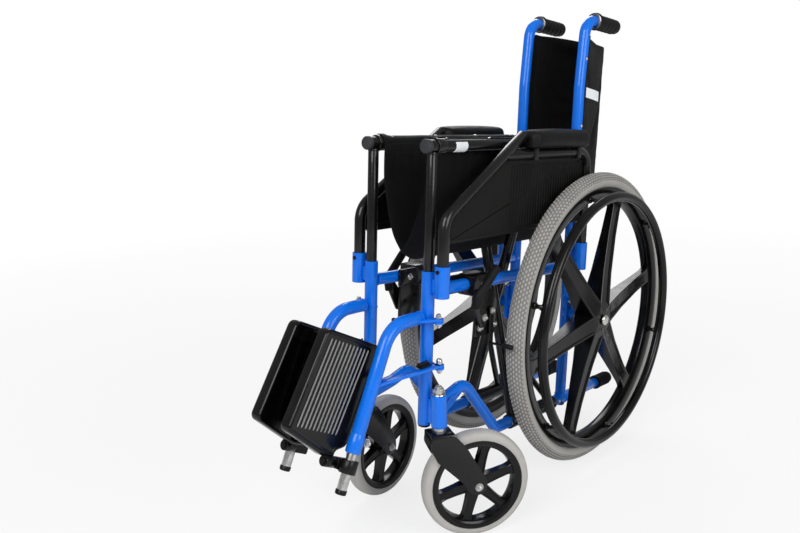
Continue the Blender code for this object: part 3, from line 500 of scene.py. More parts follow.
def grown(kind, mesh, **values):
    """The mesh that a tree makes from the given mesh and inputs; the given mesh is used up."""
    if kind not in TREES:
        TREES[kind] = TREE_MAKERS[kind]()
    tree = TREES[kind]
    work = placed("work", mesh)
    step = work.modifiers.new("shape", "NODES")
    step.node_group = tree
    names = {item.name.replace(" ", "_").lower(): item.identifier for item in tree.interface.items_tree
             if item.in_out == "INPUT"}
    for name, value in values.items():
        step[names[name]] = value
    graph = bpy.context.evaluated_depsgraph_get()
    made = bpy.data.meshes.new_from_object(work.evaluated_get(graph))
    work.modifiers.remove(step)
    bpy.data.objects.remove(work)
    bpy.data.meshes.remove(mesh)
    return made


def take(bm, mesh, matrix=None):
    """Adds a made mesh to bm, moved by the matrix, and removes it."""
    if matrix is not None:
        mesh.transform(matrix)
    bm.from_mesh(mesh)
    bpy.data.meshes.remove(mesh)


def tubes(bm, routes, sides=32):
    """Adds round tubes to bm; each route is (points, radius, bend radius)."""
    mesh = bpy.data.meshes.new("routes")
    points, edges, sizes, bends = [], [], [], []
    for route, radius, bend in routes:
        first = len(points)
        points += [tuple(p) for p in route]
        edges += [(i, i + 1) for i in range(first, len(points) - 1)]
        sizes += [radius] * len(route)
        bends += [bend] * len(route)
    mesh.from_pydata(points, edges, [])
    for name, values in (("tube_radius", sizes), ("bend_radius", bends)):
        mesh.attributes.new(name, "FLOAT", "POINT").data.foreach_set("value", values)
    take(bm, grown("tubes", mesh, sides=sides, bend_steps=10))


def mesh_of(bm):
    """The mesh of a scratch bmesh, with its normals outward."""
    bmesh.ops.recalc_face_normals(bm, faces=bm.faces)
    mesh = bpy.data.meshes.new("part")
    bm.to_mesh(mesh)
    bm.free()
    return mesh


def ring_of(bm, item, count, phase, centre):
    """Repeats the item, built at the top of a circle round the X axis, and adds it at the centre."""
    take(bm, grown("ring", mesh_of(item), count=count, phase=phase), Matrix.Translation(centre))


def row_of(bm, item, count, step):
    """Repeats the item in a row from where it is built."""
    take(bm, grown("row", mesh_of(item), count=count, step=tuple(step)))


# Shader groups and materials

def new_group(name, inputs, outputs):
    """A shader group with float or vector sockets."""
    group = bpy.data.node_groups.new(name, "ShaderNodeTree")
    for label, kind, value in inputs:
        made = group.interface.new_socket(label, in_out="INPUT", socket_type=kind)
        if value is not None:
            made.default_value = value
    for label in outputs:
        group.interface.new_socket(label, in_out="OUTPUT", socket_type="NodeSocketFloat")
    return group, group.nodes.new("NodeGroupInput"), group.nodes.new("NodeGroupOutput")


def noise(tree, vector, scale, detail=3.0, rough=0.55):
    """A noise texture's value at a scale, either a number or a socket."""
    node = tree.nodes.new("ShaderNodeTexNoise")
    node.inputs["Detail"].default_value = detail
    node.inputs["Roughness"].default_value = rough
    tree.links.new(vector, node.inputs["Vector"])
    if isinstance(scale, float):
        node.inputs["Scale"].default_value = scale
    else:
        tree.links.new(scale, node.inputs["Scale"])
    return node.outputs["Fac"]


def spread(tree, value, low, high, to_low=0.0, to_high=1.0):
    """Maps a value's range onto another, clamped."""
    node = tree.nodes.new("ShaderNodeMapRange")
    for name, number in (("From Min", low), ("From Max", high), ("To Min", to_low), ("To Max", to_high)):
        node.inputs[name].default_value = number
    tree.links.new(value, node.inputs["Value"])
    return node.outputs["Result"]


def sums(tree, operation, first, second):
    """One Math node; second may be a number or a socket."""
    node = tree.nodes.new("ShaderNodeMath")
    node.operation = operation
    for i, value in enumerate((first, second)):
        if isinstance(value, (int, float)):
            node.inputs[i].default_value = value
        else:
            tree.links.new(value, node.inputs[i])
    return node.outputs[0]


def surface_group():
    """Broad cloudy wear, fine specks, and dust that settles on what faces up."""
    group, start, end = new_group("Wear and dust", [("Vector", "NodeSocketVector", None),
                                                    ("Cloud scale", "NodeSocketFloat", 14.0),
                                                    ("Speck scale", "NodeSocketFloat", 420.0),
                                                    ("Dust", "NodeSocketFloat", 0.3)],
                                  ["Clouds", "Specks", "Dust"])
    vector = start.outputs["Vector"]
    clouds = spread(group, noise(group, vector, start.outputs["Cloud scale"], 5.0), 0.32, 0.7)
    specks = spread(group, noise(group, vector, start.outputs["Speck scale"], 2.0), 0.6, 0.78)
    facing = group.nodes.new("ShaderNodeNewGeometry")
    split = group.nodes.new("ShaderNodeSeparateXYZ")
    group.links.new(facing.outputs["Normal"], split.inputs[0])
    up = spread(group, split.outputs["Z"], 0.25, 1.0)
    dust = sums(group, "MULTIPLY", sums(group, "MULTIPLY", up, clouds), start.outputs["Dust"])
    for name, value in (("Clouds", clouds), ("Specks", specks), ("Dust", dust)):
        group.links.new(value, end.inputs[name])
    return group


def grain_group():
    """Pebbled grain of moulded plastic, rubber and vinyl."""
    group, start, end = new_group("Moulded grain", [("Vector", "NodeSocketVector", None),
                                                    ("Grain scale", "NodeSocketFloat", 900.0)], ["Height"])
    cells = group.nodes.new("ShaderNodeTexVoronoi")
    cells.feature = "SMOOTH_F1"
    group.links.new(start.outputs["Vector"], cells.inputs["Vector"])
    group.links.new(start.outputs["Grain scale"], cells.inputs["Scale"])
    fine = noise(group, start.outputs["Vector"], start.outputs["Grain scale"], 2.0)
    height = sums(group, "ADD", cells.outputs["Distance"], sums(group, "MULTIPLY", fine, 0.5))
    group.links.new(height, end.inputs["Height"])
    return group


def weave_group():
    """Plain weave over a map in metres: height of the threads, and a shade for each crossing."""
    group, start, end = new_group("Plain weave", [("Map", "NodeSocketVector", None),
                                                  ("Threads per metre", "NodeSocketFloat", 900.0)],
                                  ["Height", "Shade"])
    split = group.nodes.new("ShaderNodeSeparateXYZ")
    group.links.new(start.outputs["Map"], split.inputs[0])
    waves = []
    for axis in ("X", "Y"):
        turns = sums(group, "MULTIPLY", split.outputs[axis], start.outputs["Threads per metre"])
        waves.append(sums(group, "MULTIPLY", turns, math.pi))
    first, second = (sums(group, "SINE", wave, 0.0) for wave in waves)
    over = sums(group, "MULTIPLY", first, second)
    warp, weft = (sums(group, "ABSOLUTE", value, 0.0) for value in (first, second))
    sign = spread(group, over, -0.15, 0.15)
    shown = sums(group, "ADD", sums(group, "MULTIPLY", warp, sign),
                 sums(group, "MULTIPLY", weft, sums(group, "SUBTRACT", 1.0, sign)))
    group.links.new(shown, end.inputs["Height"])
    group.links.new(sign, end.inputs["Shade"])
    return group


GROUP_MAKERS = {"Wear and dust": surface_group, "Moulded grain": grain_group, "Plain weave": weave_group}
PALETTE = {}


def use_group(tree, name, vector, socket_name="Vector", **values):
    """Places a shared group in a material with its own values."""
    group = bpy.data.node_groups.get(name) or GROUP_MAKERS[name]()
    node = tree.nodes.new("ShaderNodeGroup")
    node.node_tree = group
    tree.links.new(vector, node.inputs[socket_name])
    for label, value in values.items():
        node.inputs[label.replace("_", " ").capitalize()].default_value = value
    return node.outputs


def worn(tree, place, clouds, specks, dust):
    """The shared wear group, on the object's own coordinates."""
    return use_group(tree, "Wear and dust", place.outputs["Object"], cloud_scale=clouds, speck_scale=specks,
                     dust=dust)


def start_material(name, rough, **plain):
    """A material with its shader, its Object coordinates, and the plain socket values set."""
    made = bpy.data.materials.new(name)
    made.use_nodes = True
    tree = made.node_tree
    shader = tree.nodes["Principled BSDF"]
    shader.inputs["Roughness"].default_value = rough
    for label, value in plain.items():
        shader.inputs[label.replace("_", " ")].default_value = value
    place = tree.nodes.new("ShaderNodeTexCoord")
    return made, tree, shader, place


def tint(tree, shader, mask, base, other):
    """Base Color goes from base to other where the mask rises."""
    mix = tree.nodes.new("ShaderNodeMix")
    mix.data_type = "RGBA"
    for item in mix.inputs:
        if item.identifier == "A_Color":
            item.default_value = base
        if item.identifier == "B_Color":
            item.default_value = other
        if item.identifier == "Factor_Float":
            tree.links.new(mask, item)
    result = next(item for item in mix.outputs if item.identifier == "Result_Color")
    tree.links.new(result, shader.inputs["Base Color"])


def roughen(tree, shader, value, top, low, high):
    """Roughness goes from low to high as the value rises from 0 to top."""
    tree.links.new(spread(tree, value, 0.0, top, low, high), shader.inputs["Roughness"])


def bump(tree, shader, height, distance, strength=1.0):
    """Feeds a height to the shader's normal."""
    node = tree.nodes.new("ShaderNodeBump")
    node.inputs["Distance"].default_value = distance
    node.inputs["Strength"].default_value = strength
    tree.links.new(height, node.inputs["Height"])
    tree.links.new(node.outputs["Normal"], shader.inputs["Normal"])


def paint(name, colour, peel, rough=0.22, coat=0.6, level=0.5):
    """Gloss powder paint: ripple, faint clouds of colour, dull dust on top."""
    made, tree, shader, place = start_material(name, rough, Coat_Weight=coat, Coat_Roughness=0.06,
                                               Specular_IOR_Level=level)
    wear = worn(tree, place, 16.0, 520.0, 0.1)
    pale = tuple(min(1.0, c * 1.18 + 0.004) for c in colour[:3]) + (1,)
    shade = sums(tree, "ADD", sums(tree, "MULTIPLY", wear["Clouds"], 0.45), wear["Dust"])
    tint(tree, shader, shade, colour, pale)
    roughen(tree, shader, sums(tree, "ADD", wear["Clouds"], wear["Specks"]), 2.0, rough - 0.05, rough + 0.16)
    bump(tree, shader, noise(tree, place.outputs["Object"], 260.0, 2.0), peel)
    return made


def moulded(name, colour, rough, grain, depth, level=0.35, dust=0.18):
    """Moulded plastic or rubber with a pebbled grain and dust."""
    made, tree, shader, place = start_material(name, rough, Specular_IOR_Level=level)
    wear = worn(tree, place, 22.0, 700.0, dust)
    height = use_group(tree, "Moulded grain", place.outputs["Object"], grain_scale=grain)["Height"]
    pale = tuple(min(1.0, c * 1.5 + 0.012) for c in colour[:3]) + (1,)
    tint(tree, shader, sums(tree, "ADD", sums(tree, "MULTIPLY", wear["Clouds"], 0.22), wear["Dust"]), colour,
         pale)
    roughen(tree, shader, sums(tree, "ADD", wear["Clouds"], wear["Specks"]), 2.0, rough - 0.08, rough + 0.14)
    bump(tree, shader, height, depth)
    return made


def metal(name, colour, rough):
    """Bright plated or plain steel with fine turning marks and light tarnish."""
    made, tree, shader, place = start_material(name, rough, Metallic=1.0)
    wear = worn(tree, place, 60.0, 900.0, 0.0)
    dull = tuple(c * 0.55 for c in colour[:3]) + (1,)
    tint(tree, shader, sums(tree, "MULTIPLY", wear["Clouds"], 0.7), colour, dull)
    roughen(tree, shader, wear["Clouds"], 1.0, rough - 0.05, rough + 0.18)
    bump(tree, shader, noise(tree, place.outputs["Object"], 1600.0, 2.0), 0.00003)
    return made


def nylon(name, colour, threads):
    """Coated nylon cloth with its weave on the cloth's own map."""
    made, tree, shader, place = start_material(name, 0.62, Specular_IOR_Level=0.1, Sheen_Weight=0.03,
                                               Sheen_Roughness=0.45)
    weave = use_group(tree, "Plain weave", place.outputs["UV"], "Map", threads_per_metre=threads)
    wear = worn(tree, place, 9.0, 800.0, 0.35)
    pale = tuple(c * 1.6 + 0.002 for c in colour[:3]) + (1,)
    shade = sums(tree, "ADD", sums(tree, "MULTIPLY", weave["Shade"], 0.3),
                 sums(tree, "MULTIPLY", wear["Clouds"], 0.35))
    tint(tree, shader, sums(tree, "ADD", shade, sums(tree, "MULTIPLY", wear["Dust"], 0.5)), colour, pale)
    roughen(tree, shader, wear["Clouds"], 1.0, 0.52, 0.72)
    creases = sums(tree, "MULTIPLY", noise(tree, place.outputs["Object"], 55.0, 4.0), 3.0)
    bump(tree, shader, sums(tree, "ADD", weave["Height"], creases), 0.00028)
    return made


def finish(name):
    """The named finish, made once."""
    if name in PALETTE:
        return PALETTE[name]
    scene = bpy.context.scene
    colours, wheels, cloth = scene.wheelchair_paint, scene.wheelchair_wheels, scene.wheelchair_cloth
    grey = tuple(wheels.tyre_grey)
    pale_grey = tuple(min(1, c * 1.05) for c in grey[:3]) + (1,)
    looks = {
        "blue": (paint, "Blue gloss paint", tuple(colours.frame_blue), colours.peel, 0.24, 0.25, 0.3),
        "black": (paint, "Black gloss paint", tuple(colours.black), colours.peel, 0.24, 0.3, 0.24),
        "plastic": (moulded, "Black moulded plastic", (0.0042, 0.0041, 0.004, 1),
                    0.34, 1300.0, 0.00006, 0.26),
        "wheel": (moulded, "Glossy wheel plastic", (0.0026, 0.0025, 0.0024, 1),
                  0.2, 1500.0, 0.00003, 0.3, 0.06),
        "guard": (moulded, "Grained guard plastic", (0.004, 0.0037, 0.0035, 1), 0.42, 1100.0, 0.0001, 0.16),
        "rubber": (moulded, "Black rubber", (0.0048, 0.0048, 0.005, 1), 0.56, 1500.0, 0.00012, 0.18, 0.2),
        "vinyl": (moulded, "Black foam skin", (0.004, 0.0039, 0.0038, 1), 0.5, 950.0, 0.00016, 0.16, 0.18),
        "cap": (moulded, "Dark grey end cap", (0.03, 0.032, 0.036, 1), 0.55, 1200.0, 0.00008, 0.3),
        "tyre": (moulded, "Grey tyre rubber", grey, 0.68, 1400.0, 0.00014, 0.25, 0.35),
        "caster tyre": (moulded, "Grey solid tyre", pale_grey, 0.5, 1600.0, 0.00005, 0.35, 0.3),
        # painted shade: this darker grey on the skin between the tread blocks stands in for shade in the
        # grooves
        "groove": (moulded, "Dark tread groove", (0.2, 0.195, 0.185, 1), 0.75, 1400.0, 0.0001, 0.2, 0.2),
        # painted highlight: the footplate ribs' light grey stands in for the bright lines of light along them
        "rib": (moulded, "Scuffed rib plastic", (0.26, 0.26, 0.26, 1), 0.5, 900.0, 0.00012, 0.3, 0.2),
        "chrome": (metal, "Bright zinc plate", (0.78, 0.77, 0.74, 1), 0.22),
        "dark steel": (metal, "Dark turned steel", (0.2, 0.2, 0.21, 1), 0.26),
        "steel": (metal, "Plated steel tube", (0.66, 0.66, 0.65, 1), 0.2),
        "nylon": (nylon, "Black nylon", (0.0045, 0.0046, 0.0052, 1), 1.0 / cloth.thread),
        "webbing": (nylon, "Black hem tape", (0.0055, 0.0055, 0.006, 1), 0.6 / cloth.thread),
        "tag": (nylon, "White tag cloth", (0.7, 0.72, 0.74, 1), 1.4 / cloth.thread),
        "thread": (moulded, "Black thread", (0.02, 0.02, 0.022, 1), 0.6, 2400.0, 0.00005, 0.3),
    }
    maker, *values = looks[name]
    PALETTE[name] = maker(*values)
    return PALETTE[name]


# Delivering pieces

def placed(name, data):
    """A new object of the data, linked to the scene."""
    made = bpy.data.objects.new(name, data)
    bpy.context.scene.collection.objects.link(made)
    return made


def applied(piece):
    """Turns the piece's modifiers into its mesh."""
    graph = bpy.context.evaluated_depsgraph_get()
    piece.data = bpy.data.meshes.new_from_object(piece.evaluated_get(graph))
    piece.modifiers.clear()


def deliver(name, source, body, slot, look, stands_for=(), mirror=False, place=CHAIR, bevel=0.0, crease=35,
            after=None):
    """Makes a finished piece from a bmesh or mesh laid out in place, riding on its body."""
    if isinstance(source, bmesh.types.BMesh):
        bm = source.copy()
    else:
        bm = bmesh.new()
        bm.from_mesh(source)
    flip = Matrix.Diagonal((-1, 1, 1, 1)) if mirror else Matrix.Identity(4)
    bmesh.ops.transform(bm, matrix=place @ flip, verts=bm.verts)
    bmesh.ops.recalc_face_normals(bm, faces=bm.faces)
    mesh = bpy.data.meshes.new(name)
    bm.to_mesh(mesh)
    bm.free()
    for old in ("tube_radius", "bend_radius"):
        if old in mesh.attributes:
            mesh.attributes.remove(mesh.attributes[old])
    mesh.materials.clear()
    mesh.materials.append(finish(look))
    mesh.polygons.foreach_set("material_index", [0] * len(mesh.polygons))
    piece = placed(name, mesh)
    if bevel:
        step = piece.modifiers.new("rounded edges", "BEVEL")
        step.width = bevel
        step.segments = 2
        step.limit_method = "ANGLE"
        step.angle_limit = math.radians(40)
        applied(piece)
    piece.data.shade_smooth()
    piece.data.set_sharp_from_angle(angle=math.radians(crease))
    if after:
        after(piece)
    if body:
        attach(piece, body)
    if stands_for:
        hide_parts(*stands_for)
    return piece


def single(name, bm, *values, **options):
    """Delivers one piece and frees the bmesh it came from."""
    deliver(name, bm, *values, **options)
    bm.free()


def both(name, bm, body, slot, look, stands_for=(), **options):
    """Delivers the left piece and its mirror image; names take the side as a prefix."""
    made = []
    for side in ("left", "right"):
        nodes = [side + "_" + node for node in stands_for]
        made.append(deliver(side + "_" + name, bm, side + "_" + body, slot, look, nodes, side == "right",
                            **options))
    bm.free()
    return made


# Side frames

@shape
def frame_tubes(bm):
    """Blue uprights, rails, canes, sockets, caster housings, axle bosses and hinge lugs."""
    socket(bm, at(0, 0, 0), UPWARD, UPRIGHT_TOP, UPRIGHT_R, 0.0099, 0.2455)
    tubes(bm, [
        ([at(0, CANE_FOOT_U, LOW_RAIL_V), at(0, *CANE_KINK), grip_point(0.487), grip_point(0.56)],
         RAIL_R, 0.034),
        ([at(0, 0.0104, rail_v(0)), at(0, REAR_U, rail_v(REAR_U))], RAIL_R, 0.03),
        ([at(0, 0.0104, 0.024), at(0, 0.064, 0.034), at(0, 0.112, 0.0485), at(0, 0.223, LOW_RAIL_V),
          at(0, 0.655, LOW_RAIL_V)], RAIL_R, 0.034),
    ])
    socket(bm, at(ARM_O, 0, 0.231), UPWARD, 0.055, ARM_SOCKET_R, ARM_R + 0.0003, 0.0505)
    socket(bm, at(ARM_O, ARM_REAR_U, 0.223), UPWARD, 0.057, ARM_SOCKET_R, ARM_R + 0.0003, 0.0525)
    housing = upright_at(STEM[0], STEM[1], 0.216)
    lathe(bm, [(0, 0.0062), (0, 0.0136), (0.001, 0.0142), (0.006, 0.0142), (0.01, 0.0139), (0.049, 0.0139),
               (0.053, 0.0142), (0.058, 0.0142), (0.059, 0.0136), (0.059, 0.0062)], housing, LEVEL_UP,
          closed=True)
    lathe(bm, [(0, 0.0062), (0, 0.0118), (0.001, 0.0125), (0.036, 0.0125), (0.038, 0.0115), (0.038, 0.0062)],
          axle_at(-0.004), ACROSS, closed=True)
    plate(bm, [(-0.004, 0.237), (0.004, 0.237), (0.004, 0.262), (-0.004, 0.262)], (0.0104, 0.022),
          corner=0.001)
    plate(bm, [(0.466, 0.232), (0.474, 0.232), (0.474, 0.27), (0.466, 0.27)], (0.004, 0.022), corner=0.001)
    plate(bm, [(-0.005, 0.006), (0.006, 0.006), (0.006, 0.05), (-0.005, 0.05)], (0.0104, 0.022), corner=0.001)
    plate(bm, [(0.455, 0.086), (0.492, 0.086), (0.492, 0.162), (0.455, 0.162)], (0.008, 0.0135), corner=0.008)
    bar(bm, at(0.03, 0.006, 0.02), at(0.002, 0.102, 0.04), 0.005, 0.0125)
    for up in PIN_UP:
        lug = up - 0.0042
        bar(bm, upright_at(0.0104, PIN[1] + 0.001, lug), upright_at(PIN[0], PIN[1], lug), 0.016, 0.004,
            LEVEL_BACK)
        lathe(bm, [(-0.002, 0.0085), (0.002, 0.0085)], upright_at(PIN[0], PIN[1], lug), LEVEL_UP, 32)
        lathe(bm, [(0, 0.0102), (0, 0.0128), (0.0035, 0.0128), (0.0035, 0.0102)],
              upright_at(0, PIN[1] + 0.002, up - 0.0062), LEVEL_UP, 32, closed=True)


@shape
def weld_beads(bm):
    """Welds where rails, sockets and housings meet the uprights and canes."""
    spots = [(at(0, UPRIGHT_R - 0.0006, rail_v(0)), ALONG, RAIL_R),
             (at(0, REAR_U - RAIL_R, rail_v(REAR_U)), ALONG, RAIL_R),
             (at(0, 0.4728 - RAIL_R, LOW_RAIL_V), ALONG, RAIL_R),
             (at(0, 0.4728 + RAIL_R, LOW_RAIL_V), ALONG, RAIL_R),
             (at(0, CANE_FOOT_U, LOW_RAIL_V + RAIL_R), UPWARD, RAIL_R),
             (at(0, UPRIGHT_R - 0.001, 0.0245), ALONG, RAIL_R)]
    for spot, axis, radius in spots:
        lathe(bm, bead(0, radius + 0.0002, 0.0013), spot, axis, 36, closed=True)


@shape
def frame_fixings(bm):
    """Bright nuts, rivets and hinge pins of the frame."""
    for up in PIN_UP:
        base = upright_at(PIN[0], PIN[1], up)
        lathe(bm, [(-0.0115, 0.0038), (0.01, 0.0038), (0.0108, 0.003)], base, LEVEL_UP, 20)
        screw(bm, upright_at(PIN[0], PIN[1], up - 0.0064), -LEVEL_UP, 0.0056, 0.0048, "nut")
        tall = 0.0052 if up == PIN_UP[1] else 0.0095
        lathe(bm, [(0.0032, 0.003), (0.0032, 0.0054), (0.004, 0.0058), (0.0032 + tall * 0.8, 0.0052),
                   (0.0032 + tall, 0.0036)], base, LEVEL_UP, 6 if up == PIN_UP[1] else 20)
    for u in (0.271, 0.453):
        screw(bm, at(RAIL_R - 0.0004, u, LOW_RAIL_V), ACROSS, 0.0036, 0.0016)
    screw(bm, at(0.0176, 0.088, 0.038), Vector((1, 0.2, 0.3)), 0.0036, 0.002)
    for v in (0.098, 0.15):
        screw(bm, at(0.0135, 0.4635, v), ACROSS, 0.004, 0.003, "nut")
    for v in (0.4, 0.52, 0.655):
        screw(bm, at(RAIL_R - 0.0004, cane_u(v), v), ACROSS, 0.0034, 0.0016)


@shape
def frame_plugs(bm):
    """Black plugs in the lower ends of the uprights and canes."""
    lathe(bm, [(-0.003, 0.006), (-0.0042, 0.0092), (-0.003, 0.0108), (0.001, 0.0112)], at(0, 0, 0), UPWARD,
          32)
    lathe(bm, [(-0.0128, 0.006), (-0.0136, 0.008), (-0.012, 0.0098), (-0.008, 0.01)],
          at(0, CANE_FOOT_U, LOW_RAIL_V), UPWARD, 32)


def grip_axis():
    """Where the grip starts, and its direction."""
    start = grip_point(GRIP_U)
    return start, (grip_point(GRIP_U + GRIP_LENGTH) - start).normalized()


@shape
def push_grips(bm):
    """Soft grips with finger ridges below, a flange and a rounded end."""
    start, along = grip_axis()
    up = ACROSS.cross(along)
    rings = []
    steps = 72
    for i in range(steps + 1):
        reach = GRIP_LENGTH * i / steps
        flange = 0.003 * math.exp(-((reach - 0.005) / 0.0042) ** 4)
        wave = 0.5 - 0.5 * math.cos(math.tau * (reach - 0.02) / 0.0155) if 0.02 < reach < 0.0825 else 0.0
        nose = max(0.0, (reach - (GRIP_LENGTH - 0.01)) / 0.01)
        ring = []
        for k in range(36):
            angle = k * math.tau / 36
            below = max(0.0, -math.sin(angle))
            radius = 0.015 + flange + 0.0016 * wave * (0.2 + 0.8 * below) - 0.0022 * nose ** 3
            radius *= math.sqrt(max(0.02, 1 - max(0.0, (nose - 0.55) / 0.46) ** 2)) if nose > 0.55 else 1.0
            ring.append(start + along * reach + ACROSS * radius * math.cos(angle)
                        + up * radius * math.sin(angle))
        rings.append(ring)
    rings_into(bm, rings)
    item = bmesh.new()
    lathe(item, bead(0, 0.0152, 0.0006, 6), start + along * 0.012, along, 36, closed=True)
    row_of(bm, item, 2, along * 0.003)


@shape
def grip_collars(bm):
    """Bright ring that closes the grip on the cane."""
    start, along = grip_axis()
    lathe(bm, [(-0.0022, 0.0116), (-0.0022, 0.015), (-0.0012, 0.0168), (0.0, 0.0172), (0.0, 0.0116)], start,
          along, 40, closed=True)


@shape
def tipping_boots(bm):
    """Ribbed rubber boots on the rear ends of the lower rails."""
    lathe(bm, [(0.627, 0.0114), (0.627, 0.015), (0.628, 0.0157), (0.633, 0.0157), (0.635, 0.0142),
               (0.684, 0.0136), (0.688, 0.0128), (0.69, 0.0105),
               (0.69, 0.0004)], at(0, 0, LOW_RAIL_V), ALONG, 36)
    item = bmesh.new()
    lathe(item, bead(0.642, 0.014, 0.0012, 6), at(0, 0, LOW_RAIL_V), ALONG, 36, closed=True)
    row_of(bm, item, 6, (0, 0.007, 0))


class WHEELCHAIR_OT_side_frames(bpy.types.Operator):
    """Build the blue side frames with their grips, boots and fixings"""
    bl_idname = "wheelchair.side_frames"
    bl_label = "Side frames"

    def execute(self, context):
        both("frame_tubes", frame_tubes(), "frame", "blue_paint", "blue", ["side_frame"], bevel=0.0005)
        both("frame_welds", weld_beads(), "frame", "blue_paint", "blue")
        both("frame_fixings", frame_fixings(), "frame", "chrome", "chrome")
        both("frame_plugs", frame_plugs(), "frame", "black_plastic", "plastic")
        both("ridged_grip", push_grips(), "frame", "black_rubber", "rubber", ["push_grip"], crease=60)
        both("grip_collar", grip_collars(), "frame", "chrome", "dark steel")
        both("ribbed_boot", tipping_boots(), "frame", "black_rubber", "rubber", ["tipping_boot"])
        return {"FINISHED"}


# Seat rails, posts and brace

@shape
def seat_rails(bm):
    """Round rails that the seat hangs on."""
    tubes(bm, [([at(0, SEAT_RAIL_U[0], SEAT_RAIL_V), at(0, SEAT_RAIL_U[1], SEAT_RAIL_V)], SEAT_RAIL_R, 0.01)])


@shape
def rail_ends(bm):
    """Plugs in the rails' front and rear ends."""
    front = SEAT_RAIL_U[0]
    lathe(bm, [(front, 0.004), (front, 0.0116), (front - 0.0012, 0.012), (front - 0.0075, 0.012),
               (front - 0.0095, 0.0108), (front - 0.0102, 0.008), (front - 0.0103, 0.0004)],
          at(0, 0, SEAT_RAIL_V), ALONG, 40)
    back = SEAT_RAIL_U[1]
    lathe(bm, [(back, 0.004), (back, 0.011), (back + 0.0008, 0.0112), (back + 0.0022, 0.01),
               (back + 0.0024, 0.0004)], at(0, 0, SEAT_RAIL_V), ALONG, 40)


@shape
def rail_screws(bm):
    """Domed screws that hold the hem along each seat rail."""
    item = bmesh.new()
    lean = Vector((-0.42, 0, 0.91)).normalized()
    screw(item, at(0, 0.042, SEAT_RAIL_V) + lean * (SEAT_RAIL_R + 0.0012), lean, 0.0042, 0.0018)
    row_of(bm, item, 4, (0, (SEAT_U[1] - 0.054) / 3, 0))


@shape
def rail_band(bm):
    """A plain blank strip on the outer side of the near seat rail."""
    rings = []
    for u in (0.052, 0.085):
        ring = []
        for radius, k in there_and_back(SEAT_RAIL_R + 0.0004, SEAT_RAIL_R + 0.0001, 12):
            angle = math.radians(-75 + 110 * k / 12)
            ring.append(at(radius * math.cos(angle), u, SEAT_RAIL_V + radius * math.sin(angle)))
        rings.append(ring)
    rings_into(bm, rings)


@shape
def seat_posts(bm):
    """Posts that slide in the uprights, each with its eye round the seat rail."""
    tubes(bm, [([at(0, 0, 0.2305), at(0, 0, SEAT_RAIL_V - 0.01)], 0.0095, 0.01)])
    lathe(bm, [(0.004, SEAT_RAIL_R + 0.0006), (0.004, 0.0132), (0.0048, 0.0141), (0.0252, 0.0141),
               (0.026, 0.0132), (0.026, SEAT_RAIL_R + 0.0006)], at(0, 0, SEAT_RAIL_V), ALONG, 40, closed=True)
    lathe(bm, bead(0, 0.0099, 0.0011), at(0, 0.001, SEAT_RAIL_V - 0.0132), UPWARD, 32, closed=True)


def brace_point(u, share):
    """A point of the left-footed brace: share 0 at the left lower rail, 1 at the right seat rail."""
    return Vector((HALF_GAP * (1 - 2 * share), u, LOW_RAIL_V + (SEAT_RAIL_V - LOW_RAIL_V) * share))


@shape
def brace_tubes(bm, u):
    """One brace: sleeve round the lower rail, tube up to the other side's seat rail and its strut."""
    tubes(bm, [([brace_point(u, 0.02), brace_point(u, 0.982)], 0.0105, 0.01),
               ([brace_point(u, 0.3), brace_point(0.426, 0.008)], 0.0062, 0.01)])
    lathe(bm, [(u - 0.015, 0.0122), (u - 0.015, 0.014), (u - 0.0142, 0.0146), (0.4352, 0.0146),
               (0.436, 0.014), (0.436, 0.0122)], at(0, 0, LOW_RAIL_V), ALONG, 40, closed=True)
    along = brace_point(u, 1) - brace_point(u, 0)
    for share in (0.03, 0.965):
        lathe(bm, bead(0, 0.0105, 0.0013), brace_point(u, share), along, 32, closed=True)


@shape
def brace_centre_bolt(bm):
    """Bolt through both braces with washer, head and lock nut."""
    v = brace_point(0, 0.5).z
    front, back = BRACE_U[0] - 0.0105, BRACE_U[1] + 0.0105
    lathe(bm, [(front - 0.004, 0.0044), (back + 0.008, 0.0044), (back + 0.009, 0.0036)], Vector((0, 0, v)),
          ALONG, 24)
    screw(bm, Vector((0, front - 0.0002, v)), -ALONG, 0.0085, 0.0058, "nut")
    screw(bm, Vector((0, back + 0.0002, v)), ALONG, 0.0085, 0.0066, "nut")


class WHEELCHAIR_OT_seat_frame(bpy.types.Operator):
    """Build the seat rails, sliding posts and cross brace"""
    bl_idname = "wheelchair.seat_frame"
    bl_label = "Seat rails and brace"

    def execute(self, context):
        rails = {"left": "brace_b", "right": "brace_a"}
        makers = (("round_rail", seat_rails, "black_paint", "black", ["seat_rail"]),
                  ("rail_plugs", rail_ends, "black_plastic", "cap", ["rail_cap"]),
                  ("rail_screws", rail_screws, "chrome", "chrome", []))
        for side, body in rails.items():
            for name, maker, slot, look, nodes in makers:
                single(f"{side}_{name}", maker(), body, slot, look, [f"{side}_{n}" for n in nodes],
                       side == "right", bevel=0.0004 if name == "round_rail" else 0.0)
        single("blank_rail_band", rail_band(), "brace_b", "black_fabric", "tag")
        both("sliding_post", seat_posts(), "seat_post", "black_paint", "black", ["seat_post"], bevel=0.0004)
        for name, u, mirror in (("brace_a", BRACE_U[0], False), ("brace_b", BRACE_U[1], True)):
            single(name + "_tubes", brace_tubes(u), name, "black_paint", "black", [name], mirror,
                   bevel=0.0004)
        single("brace_centre_bolt", brace_centre_bolt(), "brace_a", "chrome", "chrome", ["brace_bolt"])
        return {"FINISHED"}


# Rear wheels

def casing_form():
    """The casing's middle radius, its rise above that and its half width, below the tread."""
    height = bpy.context.scene.wheelchair_wheels.tread_height
    return 0.2865, 0.0185 - height, 0.0172 - 0.3 * height


